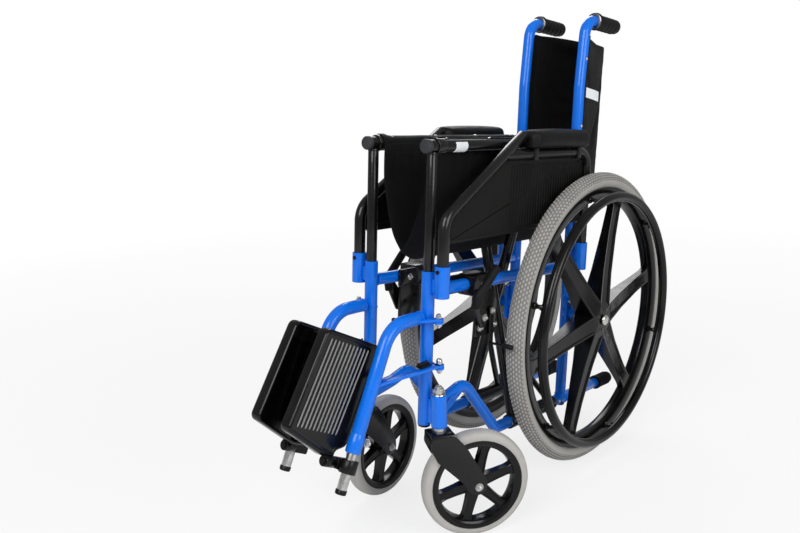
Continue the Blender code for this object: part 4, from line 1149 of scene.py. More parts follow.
@shape
def rear_tyres(bm):
    """Grey tyres: a round casing with rows of small lozenge blocks."""
    wheels = bpy.context.scene.wheelchair_wheels
    centre = axle_at(WHEEL_O)
    height = wheels.tread_height
    middle, rise, half = casing_form()
    profile = []
    for k in range(29):
        angle = math.radians(-142 + 284 * k / 28)
        profile.append((half * math.sin(angle), middle + rise * math.cos(angle)))
    lathe(bm, profile, centre, ACROSS, 180, closed=True)
    for row, degrees in enumerate((-72, -54, -36, -18, 0, 18, 36, 54, 72)):
        angle = math.radians(degrees)
        normal = Vector((math.sin(angle) * rise, 0, math.cos(angle) * half)).normalized()
        across = Vector((normal.z, 0, -normal.x))
        spot = Vector((half * math.sin(angle), 0, middle + rise * math.cos(angle)))
        lozenge = [(0.004, 0), (0, 0.0023), (-0.004, 0), (0, -0.0023)]
        item = bmesh.new()
        rings_into(item, [[spot + normal * lift + ALONG * a * size + across * b * size for a, b in lozenge]
                          for lift, size in ((-0.0008, 1.0), (height * 0.96, 0.74))])
        turn = 0.5 * math.tau / wheels.tread_count * (row % 2)
        ring_of(bm, item, wheels.tread_count, turn, centre)


@shape
def painted_tread_shades(bm):
    """Painted shade: a skin darker than the tyre between the tread blocks, standing in for the shade in the
    grooves.
    """
    middle, rise, half = casing_form()
    angles = [math.radians(-79 + 158 * k / 20) for k in range(21)]
    top = [((half + 0.0003) * math.sin(a), middle + (rise + 0.0003) * math.cos(a)) for a in angles]
    low = [((half - 0.0006) * math.sin(a), middle + (rise - 0.0006) * math.cos(a)) for a in reversed(angles)]
    lathe(bm, top + low, axle_at(WHEEL_O), ACROSS, 180, closed=True)


@shape
def moulded_wheels(bm):
    """Rim, six grooved spokes and the hub."""
    groove = bpy.context.scene.wheelchair_wheels.groove
    centre = axle_at(WHEEL_O)
    half = [(0.0118, 0.2702), (0.0133, 0.2752), (0.0156, 0.275), (0.0158, 0.266), (0.014, 0.261),
            (0.012, 0.256), (0.009, 0.2515), (0.004, 0.25)]
    lathe(bm, mirrored(half), centre, ACROSS, 180, closed=True)
    hub = [(-0.0285, 0.009), (-0.0285, 0.0172), (-0.0265, 0.018), (-0.015, 0.0215), (-0.0125, 0.03),
           (-0.0105, 0.031), (0.0105, 0.031), (0.02, 0.025), (0.0262, 0.018), (0.0272, 0.015),
           (0.0272, 0.0064)]
    lathe(bm, hub, centre, ACROSS, 64)
    item = bmesh.new()
    rings = []
    steps = ((0.012, 0.038, 0.0275, 0.0225, 0.0), (0.03, 0.04, 0.0262, 0.0205, 0.0),
             (0.04, 0.0395, 0.0245, 0.019, 1.0), (0.1, 0.0365, 0.0165, 0.0135, 1.0),
             (0.18, 0.033, 0.0105, 0.0095, 1.0), (0.23, 0.0315, 0.0088, 0.0082, 1.0),
             (0.24, 0.033, 0.0084, 0.008, 0.0), (0.2535, 0.04, 0.008, 0.0078, 0.0))
    for reach, width, front, back, deep in steps:
        a, b = width / 2, front
        lip, floor = a - 0.0042, b - groove * deep
        inner = max(0.0005, lip - 0.0022 * deep)
        face = [(-a, b - 0.0012), (-a + 0.0012, b), (-lip, b), (-inner, floor), (inner, floor), (lip, b),
                (a - 0.0012, b), (a, b - 0.0012)]
        section = face + [(a, -back + 0.0012), (a - 0.0012, -back), (-a + 0.0012, -back),
                          (-a, -back + 0.0012)]
        rings.append([Vector((y, x, reach)) for x, y in section])
    rings_into(item, rings)
    ring_of(bm, item, 6, -SPOKE_PHASE, centre)


@shape
def push_rims(bm):
    """Glossy push ring with six mounting tabs."""
    o, ring, size = HANDRIM
    centre = axle_at(o)
    lathe(bm, bead(0, ring, size, 20), centre, ACROSS, 180, closed=True)
    item = bmesh.new()
    inner = WHEEL_O + 0.0154 - o
    tubes(item, [([Vector((inner, 0, 0.2625)), Vector((inner + 0.01, 0, 0.2625)), Vector((-0.003, 0, 0.258))],
                  0.004, 0.006)], 16)
    lathe(item, [(inner, 0.003), (inner, 0.0068), (inner + 0.003, 0.0068), (inner + 0.0042, 0.0055)],
          Vector((0, 0, 0.2625)), ACROSS, 24)
    lathe(item, [(0, 0.007), (0.006, 0.0052)], Vector((-0.0105, 0, 0.258)), ACROSS, 20)
    ring_of(bm, item, 6, -TAB_PHASE, centre)


@shape
def axle_caps(bm):
    """Axle with its washer and small domed cap."""
    lathe(bm, [(0.015, 0.004), (0.015, 0.0058), (0.093, 0.0058), (0.093, 0.0108), (0.0938, 0.0114),
               (0.0955, 0.0112), (0.0972, 0.0098), (0.0982, 0.007), (0.0986, 0.0035),
               (0.0987, 0.0004)], axle_at(0), ACROSS, 40)


class WHEELCHAIR_OT_rear_wheels(bpy.types.Operator):
    """Build the rear tyres, moulded wheels, push rims and axle caps"""
    bl_idname = "wheelchair.rear_wheels"
    bl_label = "Rear wheels"

    def execute(self, context):
        both("treaded_tyre", rear_tyres(), "wheel", "grey_tyre", "tyre", ["wheel_tyre"], crease=30)
        # the tread's skin is painted shade, darker grey between the blocks
        both("tread_band", painted_tread_shades(), "wheel", "grey_tyre", "groove")
        both("grooved_wheel", moulded_wheels(), "wheel", "black_plastic", "wheel", ["wheel_mag"], crease=28)
        both("push_rim", push_rims(), "wheel", "black_paint", "wheel", ["handrim"])
        both("axle_cap", axle_caps(), "frame", "chrome", "chrome", ["axle_bolt"])
        return {"FINISHED"}


# Casters

def caster_place(side):
    """The swivel's frame: origin on the stem at the floor, trail along its +Y."""
    sign = 1 if side == "left" else -1
    spot = (sign * (HALF_GAP + STEM[0]) - ORIGIN_SIDE, STEM[1] - ORIGIN_BACK, 0)
    return Matrix.Translation(spot) @ Matrix.Rotation(CASTER_TURN[side], 4, "Z")


def bare(o, a, b):
    """The swivel's own axes, for plates."""
    return Vector((o, a, b))


@shape
def caster_forks(bm):
    """Pressed fork: a domed crown and two curved blades."""
    blade = [(-0.019, 0.2045), (0.022, 0.2045), (0.044, 0.178), (0.062, 0.146), (0.0805, 0.112),
             (0.0805, 0.091), (0.066, 0.0835), (0.051, 0.09), (0.036, 0.112), (0.014, 0.134), (-0.01, 0.158),
             (-0.0225, 0.184)]
    for low, high in ((-0.0225, -0.0187), (0.0187, 0.0225)):
        plate(bm, blade, (low, high), bare, 0.02)
    rings = []
    for x, z in ((-0.0225, 0.1965), (-0.0222, 0.202), (-0.0195, 0.2058), (-0.014, 0.2072), (0.0, 0.2076),
                 (0.014, 0.2072), (0.0195, 0.2058), (0.0222, 0.202), (0.0225, 0.1965)):
        low = z - 0.004
        rings.append([Vector((x * 0.998, -0.0205, low)), Vector((x * 0.998, 0.0215, low)),
                      Vector((x, 0.0215, z)), Vector((x, -0.0205, z))])
    rings_into(bm, rings)


@shape
def caster_stems(bm):
    """Bright stem and its lower washer."""
    lathe(bm, [(0.207, 0.01), (0.207, 0.0122), (0.2095, 0.0122), (0.21, 0.01), (0.2115, 0.0096),
               (0.215, 0.0096), (0.2155, 0.0058), (0.2905, 0.0058),
               (0.2912, 0.0048)], Vector((0, 0, 0)), UPWARD, 36)


@shape
def caster_nuts(bm):
    """Washer and domed lock nut on top of the caster housing."""
    lathe(bm, [(0.2753, 0.0061), (0.2753, 0.0118), (0.2762, 0.0125), (0.2775, 0.0118), (0.2778, 0.0061)],
          Vector((0, 0, 0)), UPWARD, 36, closed=True)
    lathe(bm, [(0.2778, 0.0061), (0.2778, 0.0098), (0.2786, 0.0104), (0.2838, 0.0104), (0.2846, 0.0096),
               (0.2846, 0.0061)],
          Vector((0, 0, 0)), UPWARD, 6, closed=True)
    lathe(bm, [(0.2844, 0.0061), (0.2844, 0.0088), (0.2872, 0.0084), (0.2884, 0.0072), (0.2885, 0.0061)],
          Vector((0, 0, 0)), UPWARD, 32, closed=True)


@shape
def caster_wheels(bm):
    """Moulded caster wheel with six flat spokes."""
    centre = Vector((0, TRAIL, CASTER_UP))
    half = [(0.0118, 0.0797), (0.0149, 0.0845), (0.016, 0.084), (0.0156, 0.077), (0.012, 0.0722),
            (0.005, 0.0706)]
    lathe(bm, mirrored(half), centre, ACROSS, 120, closed=True)
    hub = [(-0.018, 0.005), (-0.018, 0.0118), (-0.0165, 0.014), (-0.011, 0.0165), (-0.0095, 0.0205),
           (0.0095, 0.0205), (0.011, 0.0165), (0.0165, 0.014), (0.018, 0.0118), (0.018, 0.005)]
    lathe(bm, hub, centre, ACROSS, 48)
    item = bmesh.new()
    rings = []
    for reach, width, thick in ((0.01, 0.021, 0.019), (0.022, 0.0196, 0.0176), (0.04, 0.0172, 0.016),
                                (0.06, 0.016, 0.016), (0.068, 0.018, 0.017), (0.0745, 0.024, 0.018)):
        a, b = width / 2, thick / 2
        face = [(-a, b - 0.001), (-a + 0.001, b), (-a + 0.003, b), (-a + 0.0042, b - 0.0012),
                (a - 0.0042, b - 0.0012), (a - 0.003, b), (a - 0.001, b), (a, b - 0.001)]
        rings.append([Vector((y, x, reach)) for x, y in face + [(x, -y) for x, y in reversed(face)]])
    rings_into(item, rings)
    ring_of(bm, item, 6, -0.25 * math.tau / 6, centre)


@shape
def caster_tyres(bm):
    """Smooth solid tyre with a slight flat on the tread."""
    centre = Vector((0, TRAIL, CASTER_UP))
    half = [(0.0118, 0.08), (0.0136, 0.081), (0.0147, 0.085), (0.015, 0.0895), (0.0142, 0.0938),
            (0.0122, 0.0968), (0.0092, 0.0986), (0.0048, 0.0998)]
    profile = half + [(0.0, CASTER_UP)] + [(-o, r) for o, r in reversed(half)]
    lathe(bm, profile, centre, ACROSS, 144, closed=True)


@shape
def caster_bolts(bm):
    """Axle bolt with its head, nut and washers."""
    centre = Vector((0, TRAIL, CASTER_UP))
    lathe(bm, [(-0.0255, 0.003), (-0.0255, 0.0039), (0.0255, 0.0039), (0.0255, 0.003)], centre, ACROSS, 24)
    screw(bm, centre + ACROSS * 0.0226, ACROSS, 0.0062, 0.0042, "nut")
    screw(bm, centre - ACROSS * 0.0226, -ACROSS, 0.0062, 0.0042, "nut")


class WHEELCHAIR_OT_casters(bpy.types.Operator):
    """Build the caster forks, wheels, tyres and their bolts"""
    bl_idname = "wheelchair.casters"
    bl_label = "Casters"

    def execute(self, context):
        makers = (("pressed_fork", caster_forks, "caster", "black_paint", "black", "caster_fork", 0.0012),
                  ("caster_stem", caster_stems, "caster", "chrome", "chrome", "", 0.0),
                  ("caster_lock_nut", caster_nuts, "caster", "chrome", "chrome", "stem_nut", 0.0),
                  ("caster_bolt", caster_bolts, "caster", "chrome", "chrome", "caster_axle_bolt", 0.0),
                  ("spoked_caster", caster_wheels, "caster_wheel", "black_plastic", "wheel",
                   "caster_rim", 0.0),
                  ("solid_tyre", caster_tyres, "caster_wheel", "grey_tyre", "caster tyre",
                   "caster_tyre", 0.0))
        for side in ("left", "right"):
            for name, maker, body, slot, look, node, bevel in makers:
                nodes = [f"{side}_{node}"] if node else []
                single(f"{side}_{name}", maker(), f"{side}_{body}", slot, look, nodes,
                       place=caster_place(side), bevel=bevel, crease=50 if name == "pressed_fork" else 35)
        return {"FINISHED"}


# Leg rests

@shape
def hanger_tubes(bm):
    """Swing-away leg tubes with hinge bars and the clamp collar."""
    corner_v = 0.1945
    corner_u = HANGER_A[0] + (corner_v - HANGER_A[1]) * math.tan(HANGER_LEAN)
    tubes(bm, [([at(0, -0.02, corner_v + 0.001), at(0, corner_u, corner_v), foot_at(0, 0.126, 0)], UPRIGHT_R,
                0.055)])
    down = leg_way(1, 0)
    lathe(bm, [(0.12, UPRIGHT_R - 0.001), (0.124, UPRIGHT_R + 0.0002), (0.128, 0.0126), (0.13, 0.0131),
               (0.1535, 0.0131), (0.155, 0.0124), (0.155, 0.0089),
               (0.12, 0.0089)], foot_at(0, 0, 0), down, 40, closed=True)
    bar(bm, foot_at(0, 0.134, -0.022), foot_at(0, 0.134, -0.01), 0.015, 0.013)
    for up, (o, back) in zip(PIN_UP, ((0.003, -0.136), (0.004, -0.028))):
        level = up + 0.0005
        bar(bm, upright_at(o, back, level), upright_at(*PIN, level), 0.0135, 0.0044,
            LEVEL_BACK if o == 0.004 else ACROSS)
        lathe(bm, [(-0.0022, 0.0085), (0.0022, 0.0085)], upright_at(*PIN, level), LEVEL_UP, 32)
    lathe(bm, [(0, 0.01), (0, 0.0122), (0.003, 0.0122), (0.003, 0.01)], at(0, -0.021, corner_v + 0.001),
          -ALONG, 32, closed=True)


@shape
def hanger_fixings(bm):
    """Clamp bolt of each leg tube."""
    spot = foot_at(0, 0.134, -0.018)
    lathe(bm, [(-0.0105, 0.0034), (0.0105, 0.0034)], spot, ACROSS, 20)
    screw(bm, spot + ACROSS * 0.0078, ACROSS, 0.0058, 0.0046, "nut")
    screw(bm, spot - ACROSS * 0.0078, -ACROSS, 0.0058, 0.0046, "dome")


@shape
def hanger_latches(bm):
    """Black latch on each lower hinge bar."""
    for low, high, wide in ((0.3285, 0.333, 0.014), (0.333, 0.3368, 0.009)):
        outline = [(-0.04, low), (-0.016, low), (-0.016, high), (-0.04, high)]
        flat = [upright_at(0.014, back, up) for back, up in outline]
        rings_into(bm, [[p + ACROSS * s * wide / 2 for p in flat] for s in (-1, 1)])


@shape
def extension_tubes(bm):
    """Plated tubes that carry the footplates."""
    tubes(bm, [([foot_at(0, 0.1, 0), foot_at(0, 0.217, 0)], 0.0085, 0.01)], 40)


@shape
def extension_caps(bm):
    """Black caps on the plated tubes."""
    down = leg_way(1, 0)
    lathe(bm, [(0.2145, 0.0084), (0.2145, 0.0093), (0.2152, 0.0096), (0.221, 0.0094), (0.2225, 0.008),
               (0.2225, 0.0004)],
          foot_at(0, 0, 0), down, 36)


@shape
def footplate_clamps(bm):
    """Clamps on the plated tubes with the footplates' pins."""
    down, front = leg_way(1, 0), leg_way(0, 1)
    lathe(bm, [(FOOT_S - 0.011, 0.0087), (FOOT_S - 0.011, 0.0138), (FOOT_S - 0.01, 0.0145),
               (FOOT_S + 0.01, 0.0145), (FOOT_S + 0.011, 0.0138),
               (FOOT_S + 0.011, 0.0087)], foot_at(0, 0, 0), down, 36, closed=True)
    plate(bm, [(FOOT_S - 0.009, -0.012), (FOOT_S + 0.009, -0.012), (FOOT_S + 0.009, 0.015),
               (FOOT_S - 0.009, 0.015)],
          (-0.027, -0.01), foot_at, 0.003)
    lathe(bm, [(0.004, 0.0049), (0.043, 0.0049)], foot_at(FOOT_O, FOOT_S, 0), front, 24)


FOOT_EDGE = [(-0.023, -0.019), (0.15, -0.006), (0.16, 0.0165), (0.171, 0.0165), (0.171, 0.042),
             (0.144, 0.135), (-0.023, 0.115)]


@shape
def footplate_shells(bm):
    """Thick moulded plates: raised rim and ribs outboard, a webbed hollow inboard."""
    face, back = FOOT_O, FOOT_O - FOOT_THICK
    dished(bm, FOOT_EDGE, [(face - 0.0022, 0.0078), (face - 0.0018, 0.0066), (face - 0.0002, 0.0056),
                           (face, 0.0046), (face - 0.0008, 0.002), (face - 0.003, 0.0004),
                           (face - 0.006, 0.0), (back + 0.004, 0.0), (back + 0.0014, 0.0006), (back, 0.002),
                           (back, 0.0042), (back + 0.001, 0.0052), (face - 0.007, 0.0062)], foot_at, 0.012)
    front = leg_way(0, 1)
    lathe(bm, [(0.0165, 0.0052), (0.0165, 0.0088), (0.0175, 0.0095), (0.039, 0.0095), (0.04, 0.0088),
               (0.04, 0.0052)],
          foot_at(FOOT_O, FOOT_S, 0), front, 36, closed=True)
    web = bmesh.new()
    plate(web, [(0.004, 0.004), (0.0052, 0.004), (0.0052, 0.108), (0.004, 0.108)],
          (back + 0.004, face - 0.006), foot_at, 0.0002)
    row_of(bm, web, 6, foot_at(0, 0.0225, 0) - foot_at(0, 0, 0))
    for t in (0.022, 0.044, 0.066, 0.088):
        plate(bm, [(-0.014, t), (0.14, t), (0.14, t + 0.0012), (-0.014, t + 0.0012)],
              (back + 0.004, face - 0.006), foot_at, 0.0002)
    for t in (0.023, 0.089):
        boss = bmesh.new()
        lathe(boss, [(0.0, 0.0022), (0.0, 0.0046), (0.015, 0.0046), (0.015, 0.0022)],
              foot_at(back + 0.001, 0.0045, t), ACROSS, 12, closed=True)
        row_of(bm, boss, 6, foot_at(0, 0.0225, 0) - foot_at(0, 0, 0))


@shape
def footplate_highlight_ribs(bm):
    """Thin raised ribs across each plate's tread, coloured light grey as a painted highlight along each rib.
    """
    plates = bpy.context.scene.wheelchair_footplates
    face = FOOT_O
    item = bmesh.new()
    line = Vector((0.167, 0.02)).normalized()
    rings = []
    for share, size in ((0.0, 0.35), (0.012, 0.9), (0.03, 1.0), (0.97, 1.0), (0.988, 0.9), (1.0, 0.35)):
        s, t = -0.01 + line.x * 0.146 * share, 0.1 + line.y * 0.146 * share
        rings.append([foot_at(face - 0.0024, s, t - 0.0011 * size),
                      foot_at(face - 0.0024, s, t + 0.0011 * size),
                      foot_at(face - 0.0024 + 0.002 * size, s, t + 0.0005 * size),
                      foot_at(face - 0.0024 + 0.002 * size, s, t - 0.0005 * size)])
    rings_into(item, rings)
    row_of(bm, item, plates.rib_count, foot_at(0, 0, -plates.rib_step) - foot_at(0, 0, 0))


class WHEELCHAIR_OT_leg_rests(bpy.types.Operator):
    """Build the swing-away leg tubes and folding footplates"""
    bl_idname = "wheelchair.leg_rests"
    bl_label = "Leg rests"

    def execute(self, context):
        both("leg_tube", hanger_tubes(), "hanger", "blue_paint", "blue", ["hanger"], bevel=0.0006)
        both("leg_clamp_bolt", hanger_fixings(), "hanger", "chrome", "chrome")
        both("leg_latch", hanger_latches(), "hanger", "black_plastic", "plastic", bevel=0.0012)
        both("plated_tube", extension_tubes(), "extension", "chrome", "steel", ["extension"], bevel=0.0004)
        both("plated_tube_cap", extension_caps(), "extension", "black_plastic", "plastic")
        both("plate_clamp", footplate_clamps(), "extension", "black_plastic", "plastic", ["footplate_hub"],
             bevel=0.0006)
        both("ribbed_footplate", footplate_shells(), "footplate", "black_plastic", "wheel", ["footplate"],
             crease=40)
        # the ribs' light grey is a painted highlight
        both("plate_ribs", footplate_highlight_ribs(), "footplate", "black_plastic", "rib", crease=40)
        return {"FINISHED"}


# Armrests

@shape
def armrest_tubes(bm):
    """Front tube that bends back and up, and the rail under the pad with its rear leg."""
    end = at(ARM_O, ARM_STUB_U, ARM_BEND_V + ARM_SLOPE * ARM_STUB_U)
    tubes(bm, [
        ([at(ARM_O, 0, 0.2365), at(ARM_O, 0, ARM_BEND_V), end], ARM_R, 0.042),
        ([at(ARM_O, ARM_MEET_U, ARM_RAIL_V), at(ARM_O, ARM_REAR_U, ARM_RAIL_V),
          at(ARM_O, ARM_REAR_U, 0.2285)],
         ARM_R, 0.034),
    ])
    slope = Vector((0, 1, ARM_SLOPE)).normalized()
    lathe(bm, [(0, 0.0078), (0, ARM_R), (0.0012, ARM_R), (0.0016, 0.0095), (0.0016, 0.0078)], end, slope, 40,
          closed=True)


@shape
def armrest_fixings(bm):
    """Rivets at the legs and the screws under the pad."""
    screw(bm, at(ARM_O + ARM_R - 0.0004, 0.0, 0.296), ACROSS, 0.003, 0.0012)
    screw(bm, at(ARM_O + ARM_R - 0.0004, ARM_REAR_U, 0.296), ACROSS, 0.003, 0.0012)
    for u in (0.259, 0.419):
        screw(bm, at(ARM_O, u, ARM_RAIL_V - ARM_R), -UPWARD, 0.0042, 0.002)


@shape
def pad_brackets(bm):
    """Small dark saddle under each end of the pad."""
    for u in (0.252, 0.412):
        plate(bm, [(u, ARM_RAIL_V - ARM_R - 0.001), (u + 0.014, ARM_RAIL_V - ARM_R - 0.001),
                   (u + 0.014, ARM_RAIL_V + ARM_R), (u, ARM_RAIL_V + ARM_R)],
              (ARM_O - 0.0118, ARM_O + 0.0118), corner=0.002)


@shape
def pad_cage(bm):
    """The pad's crowned form before its foam swells."""
    start, end, half_width, height = 0.2355, 0.437, 0.0224, 0.0352
    low = ARM_RAIL_V + ARM_R + 0.0003
    rings = []
    count = 26
    for i in range(count + 1):
        share = i / count
        nose = abs(2 * share - 1)
        size = max(0.0, 1 - max(0.0, (nose - 0.84) / 0.16) ** 2.4) ** 0.5
        size = 0.5 + 0.5 * size
        w = half_width * size
        h = height * (0.42 + 0.58 * size) * (0.955 + 0.045 * math.sin(math.pi * share))
        ring = []
        for k in range(22):
            angle = k * math.tau / 22
            c, s = math.cos(angle), math.sin(angle)
            x = w * math.copysign(abs(c) ** 0.62, c)
            z = h / 2 + h / 2 * math.copysign(abs(s) ** (0.72 if s > 0 else 0.38), s)
            ring.append(at(PAD_O + x, start + share * (end - start), low + z))
        rings.append(ring)
    rings_into(bm, rings)


def simulated(piece, held, frames, gravity=1.0, **settings):
    """Where the piece's points come to rest as cloth, with the held points kept in place."""
    scene = bpy.context.scene
    piece.vertex_groups.new(name="held").add(held, 1.0, "REPLACE")
    cloth = piece.modifiers.new("cloth", "CLOTH")
    cloth.settings.vertex_group_mass = "held"
    cloth.settings.effector_weights.gravity = gravity
    for name, value in settings.items():
        setattr(cloth.settings, name, value)
    cloth.point_cache.frame_start, cloth.point_cache.frame_end = 1, frames
    for number in range(1, frames + 1):
        scene.frame_set(number)
    graph = bpy.context.evaluated_depsgraph_get()
    moved = [v.co.copy() for v in piece.evaluated_get(graph).data.vertices]
    piece.modifiers.remove(cloth)
    piece.vertex_groups.clear()
    scene.frame_set(1)
    return moved


def swollen(piece, cap=0.0008, frames=20):
    """Remeshes the pad and lets it swell under pressure, each point by at most cap."""
    step = piece.modifiers.new("remesh", "REMESH")
    step.mode = "VOXEL"
    step.voxel_size = 0.003
    applied(piece)
    rest = [v.co.copy() for v in piece.data.vertices]
    low = min(p.z for p in rest)
    held = [i for i, p in enumerate(rest) if p.z < low + 0.0012]
    moved = simulated(piece, held, frames, gravity=0.0, use_pressure=True, uniform_pressure_force=3.0,
                      quality=5, tension_stiffness=25, compression_stiffness=25)
    for vertex, before, after in zip(piece.data.vertices, rest, moved):
        shift = after - before
        if shift.length > cap:
            shift *= cap / shift.length
        if before.z < low + 0.002:
            shift.z = 0.0
        vertex.co = before + shift
    smooth = piece.modifiers.new("smooth", "SMOOTH")
    smooth.factor, smooth.iterations = 0.5, 3
    finer = piece.modifiers.new("finer", "SUBSURF")
    finer.levels = finer.render_levels = 1
    applied(piece)
    piece.data.shade_smooth()


@shape
def guard_panels(bm):
    """Moulded side panels with a raised border and upright ribs."""
    top = ARM_RAIL_V - ARM_R - 0.0003
    drop = (ARM_R + 0.0003) * math.sqrt(1 + ARM_SLOPE ** 2)
    slope_u = (top - ARM_BEND_V + drop) / ARM_SLOPE
    edge = [(0.0118, 0.33), (0.0195, 0.322), (0.446, 0.326), (0.454, 0.334), (0.454, 0.438), (0.438, top),
            (slope_u, top), (0.03, ARM_BEND_V + ARM_SLOPE * 0.03 - drop), (0.0185, 0.359), (0.0118, 0.343)]
    o = ARM_O
    dished(bm, edge, [(o + 0.0006, 0.007), (o + 0.0006, 0.0064), (o + 0.0014, 0.0056), (o + 0.0015, 0.0012),
                      (o + 0.001, 0.0001), (o - 0.001, 0.0001), (o - 0.0015, 0.0012), (o - 0.0014, 0.0056),
                      (o - 0.0006, 0.0064), (o - 0.0006, 0.007)], at, 0.004)
    item = bmesh.new()
    rings = []
    for v, size in ((0.3335, 0.3), (0.335, 1.0), (0.4485, 1.0), (0.45, 0.3)):
        rings.append([at(o + 0.0004, 0.197 - 0.0024 * size, v),
                      at(o + 0.0006 + 0.0016 * size, 0.197 - 0.0009 * size, v),
                      at(o + 0.0006 + 0.0016 * size, 0.197 + 0.0009 * size, v),
                      at(o + 0.0004, 0.197 + 0.0024 * size, v)])
    rings_into(item, rings)
    row_of(bm, item, 28, (0, 0.0088, 0))


@shape
def armrest_buttons(bm):
    """Push buttons of the front sockets."""
    lathe(bm, [(-0.0108, 0.002), (-0.0108, 0.0034), (-0.0148, 0.0034), (-0.0158, 0.0028), (-0.0162, 0.0014),
               (-0.0162, 0.0002)], at(ARM_O, 0, BUTTON_V), ALONG, 24)


class WHEELCHAIR_OT_armrests(bpy.types.Operator):
    """Build the armrest tubes, pads, side panels and buttons"""
    bl_idname = "wheelchair.armrests"
    bl_label = "Armrests"

    def execute(self, context):
        both("bent_arm_tube", armrest_tubes(), "armrest", "black_paint", "black", ["armrest_tube"],
             bevel=0.0004)
        both("arm_rivets", armrest_fixings(), "armrest", "chrome", "black")
        both("pad_saddle", pad_brackets(), "armrest", "black_plastic", "plastic", bevel=0.0006)
        both("side_panel", guard_panels(), "armrest", "black_plastic", "guard", ["skirt_guard"], crease=30)
        both("release_button", armrest_buttons(), "arm_button", "black_plastic", "plastic", ["arm_button"])
        for pad in both("foam_pad", pad_cage(), "armrest", "black_rubber", "vinyl", ["arm_pad"], crease=80,
                        after=swollen):
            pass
        return {"FINISHED"}


# Brakes

@shape
def brake_brackets(bm):
    """Clamp block round the top rail with its side plate."""
    low, high = rail_v(0.1315) - 0.0195, rail_v(0.1315) + 0.019
    plate(bm, [(0.105, low), (0.158, low), (0.158, high), (0.105, high)], (-0.015, 0.0218), corner=0.004)
    plate(bm, [(0.06, low + 0.004), (0.112, low + 0.003), (0.112, high - 0.002), (0.06, high - 0.002)],
          (-0.019, -0.012), corner=0.003)
    plate(bm, [(0.106, 0.142), (0.166, 0.14), (0.171, 0.15), (0.171, 0.2), (0.156, 0.226), (0.106, 0.228)],
          (0.0215, 0.0265), corner=0.006)


@shape
def brake_fixings(bm):
    """Bright bolts of the brake plate and its clamp."""
    for u, v in ((0.163, 0.158), (0.119, 0.158)):
        screw(bm, at(0.0266, u, v), ACROSS, 0.006, 0.0044, "nut")
    for spot, reach in ((LEVER_AT, 0.0362), (SHOE_AT, 0.0318)):
        lathe(bm, [(0.0215, 0.0029), (reach, 0.0029)], at(0, *spot), ACROSS, 20)
        screw(bm, at(reach - 0.0002, *spot), ACROSS, 0.0056, 0.0034, "nut")
    screw(bm, at(0.0218, 0.131, rail_v(0.131)), ACROSS, 0.0062, 0.003)
    screw(bm, at(-0.019, 0.086, rail_v(0.086)), -ACROSS, 0.0048, 0.0034, "nut")


@shape
def brake_levers(bm):
    """Flat lever arms."""
    plate(bm, [(0.11, 0.16), (0.122, 0.16), (0.13, 0.174), (0.128, 0.186), (0.098, 0.222), (0.084, 0.222),
               (0.084, 0.206)], (0.032, 0.036), corner=0.004)


@shape
def brake_grips(bm):
    """Thick rounded plastic grip on each lever."""
    route = rounded([at(0.035, 0.089, 0.2), at(0.042, 0.092, 0.224), at(0.045, 0.142, 0.27)], 0.02, 8)
    rings = []
    last = len(route) - 1
    for i, point in enumerate(route):
        ahead = route[min(i + 1, last)] - route[max(i - 1, 0)]
        along = ahead.normalized()
        across = (ACROSS - along * ACROSS.dot(along)).normalized()
        up = across.cross(along)
        stops = [(0.0, 1.0)]
        if i == last:
            stops = [(-0.007, 1.0), (-0.003, 0.96), (-0.001, 0.82), (0.0, 0.55)]
        if i == 0:
            stops = [(0.0, 0.7), (0.002, 0.95)]
        for shift, size in stops:
            rings.append([point + along * shift + across * 0.0072 * size * math.cos(k * math.tau / 28)
                          + up * 0.0088 * size * math.sin(k * math.tau / 28) for k in range(28)])
    rings_into(bm, rings)


@shape
def brake_shoes(bm):
    """Arm and cross rod that press on the tyre."""
    plate(bm, [(SHOE_AT[0] - 0.007, SHOE_AT[1] + 0.007), (SHOE_AT[0] + 0.007, SHOE_AT[1] + 0.007),
               (ROD_AT[0] + 0.006, ROD_AT[1] - 0.006), (ROD_AT[0] - 0.006, ROD_AT[1] - 0.006)],
          (0.0275, 0.0313), corner=0.004)
    tubes(bm, [([at(0.029, *ROD_AT), at(0.06, *ROD_AT)], 0.0025, 0.01)], 20)


@shape
def brake_tips(bm):
    """Rubber sleeve on each cross rod."""
    lathe(bm, [(0.058, 0.0024), (0.058, 0.0042), (0.059, 0.0047), (0.0775, 0.0047), (0.0788, 0.0038),
               (0.079, 0.0004)],
          at(0, *ROD_AT), ACROSS, 24)


class WHEELCHAIR_OT_brakes(bpy.types.Operator):
    """Build the wheel locks with their levers and tips"""
    bl_idname = "wheelchair.brakes"
    bl_label = "Brakes"

    def execute(self, context):
        both("brake_clamp", brake_brackets(), "frame", "black_paint", "black", ["brake_bracket"],
             bevel=0.0007)
        both("brake_bolts", brake_fixings(), "frame", "chrome", "chrome")
        both("lever_arm", brake_levers(), "brake_lever", "black_paint", "black", ["brake_lever"],
             bevel=0.0006)
        both("lever_grip", brake_grips(), "brake_lever", "black_rubber", "rubber", crease=60)
        both("brake_rod", brake_shoes(), "brake_shoe", "black_paint", "black", ["brake_shoe"], bevel=0.0005)
        both("brake_tip", brake_tips(), "brake_shoe", "black_rubber", "rubber")
        return {"FINISHED"}


# Cloth

def grid_mesh(name, rows):
    """A mesh of four-sided faces through rows of points."""
    high, wide = len(rows), len(rows[0])
    mesh = bpy.data.meshes.new(name)
    faces = [(r * wide + c, r * wide + c + 1, (r + 1) * wide + c + 1, (r + 1) * wide + c)
             for r in range(high - 1) for c in range(wide - 1)]
    mesh.from_pydata([tuple(p) for row in rows for p in row], [], faces)
    return mesh, high, wide


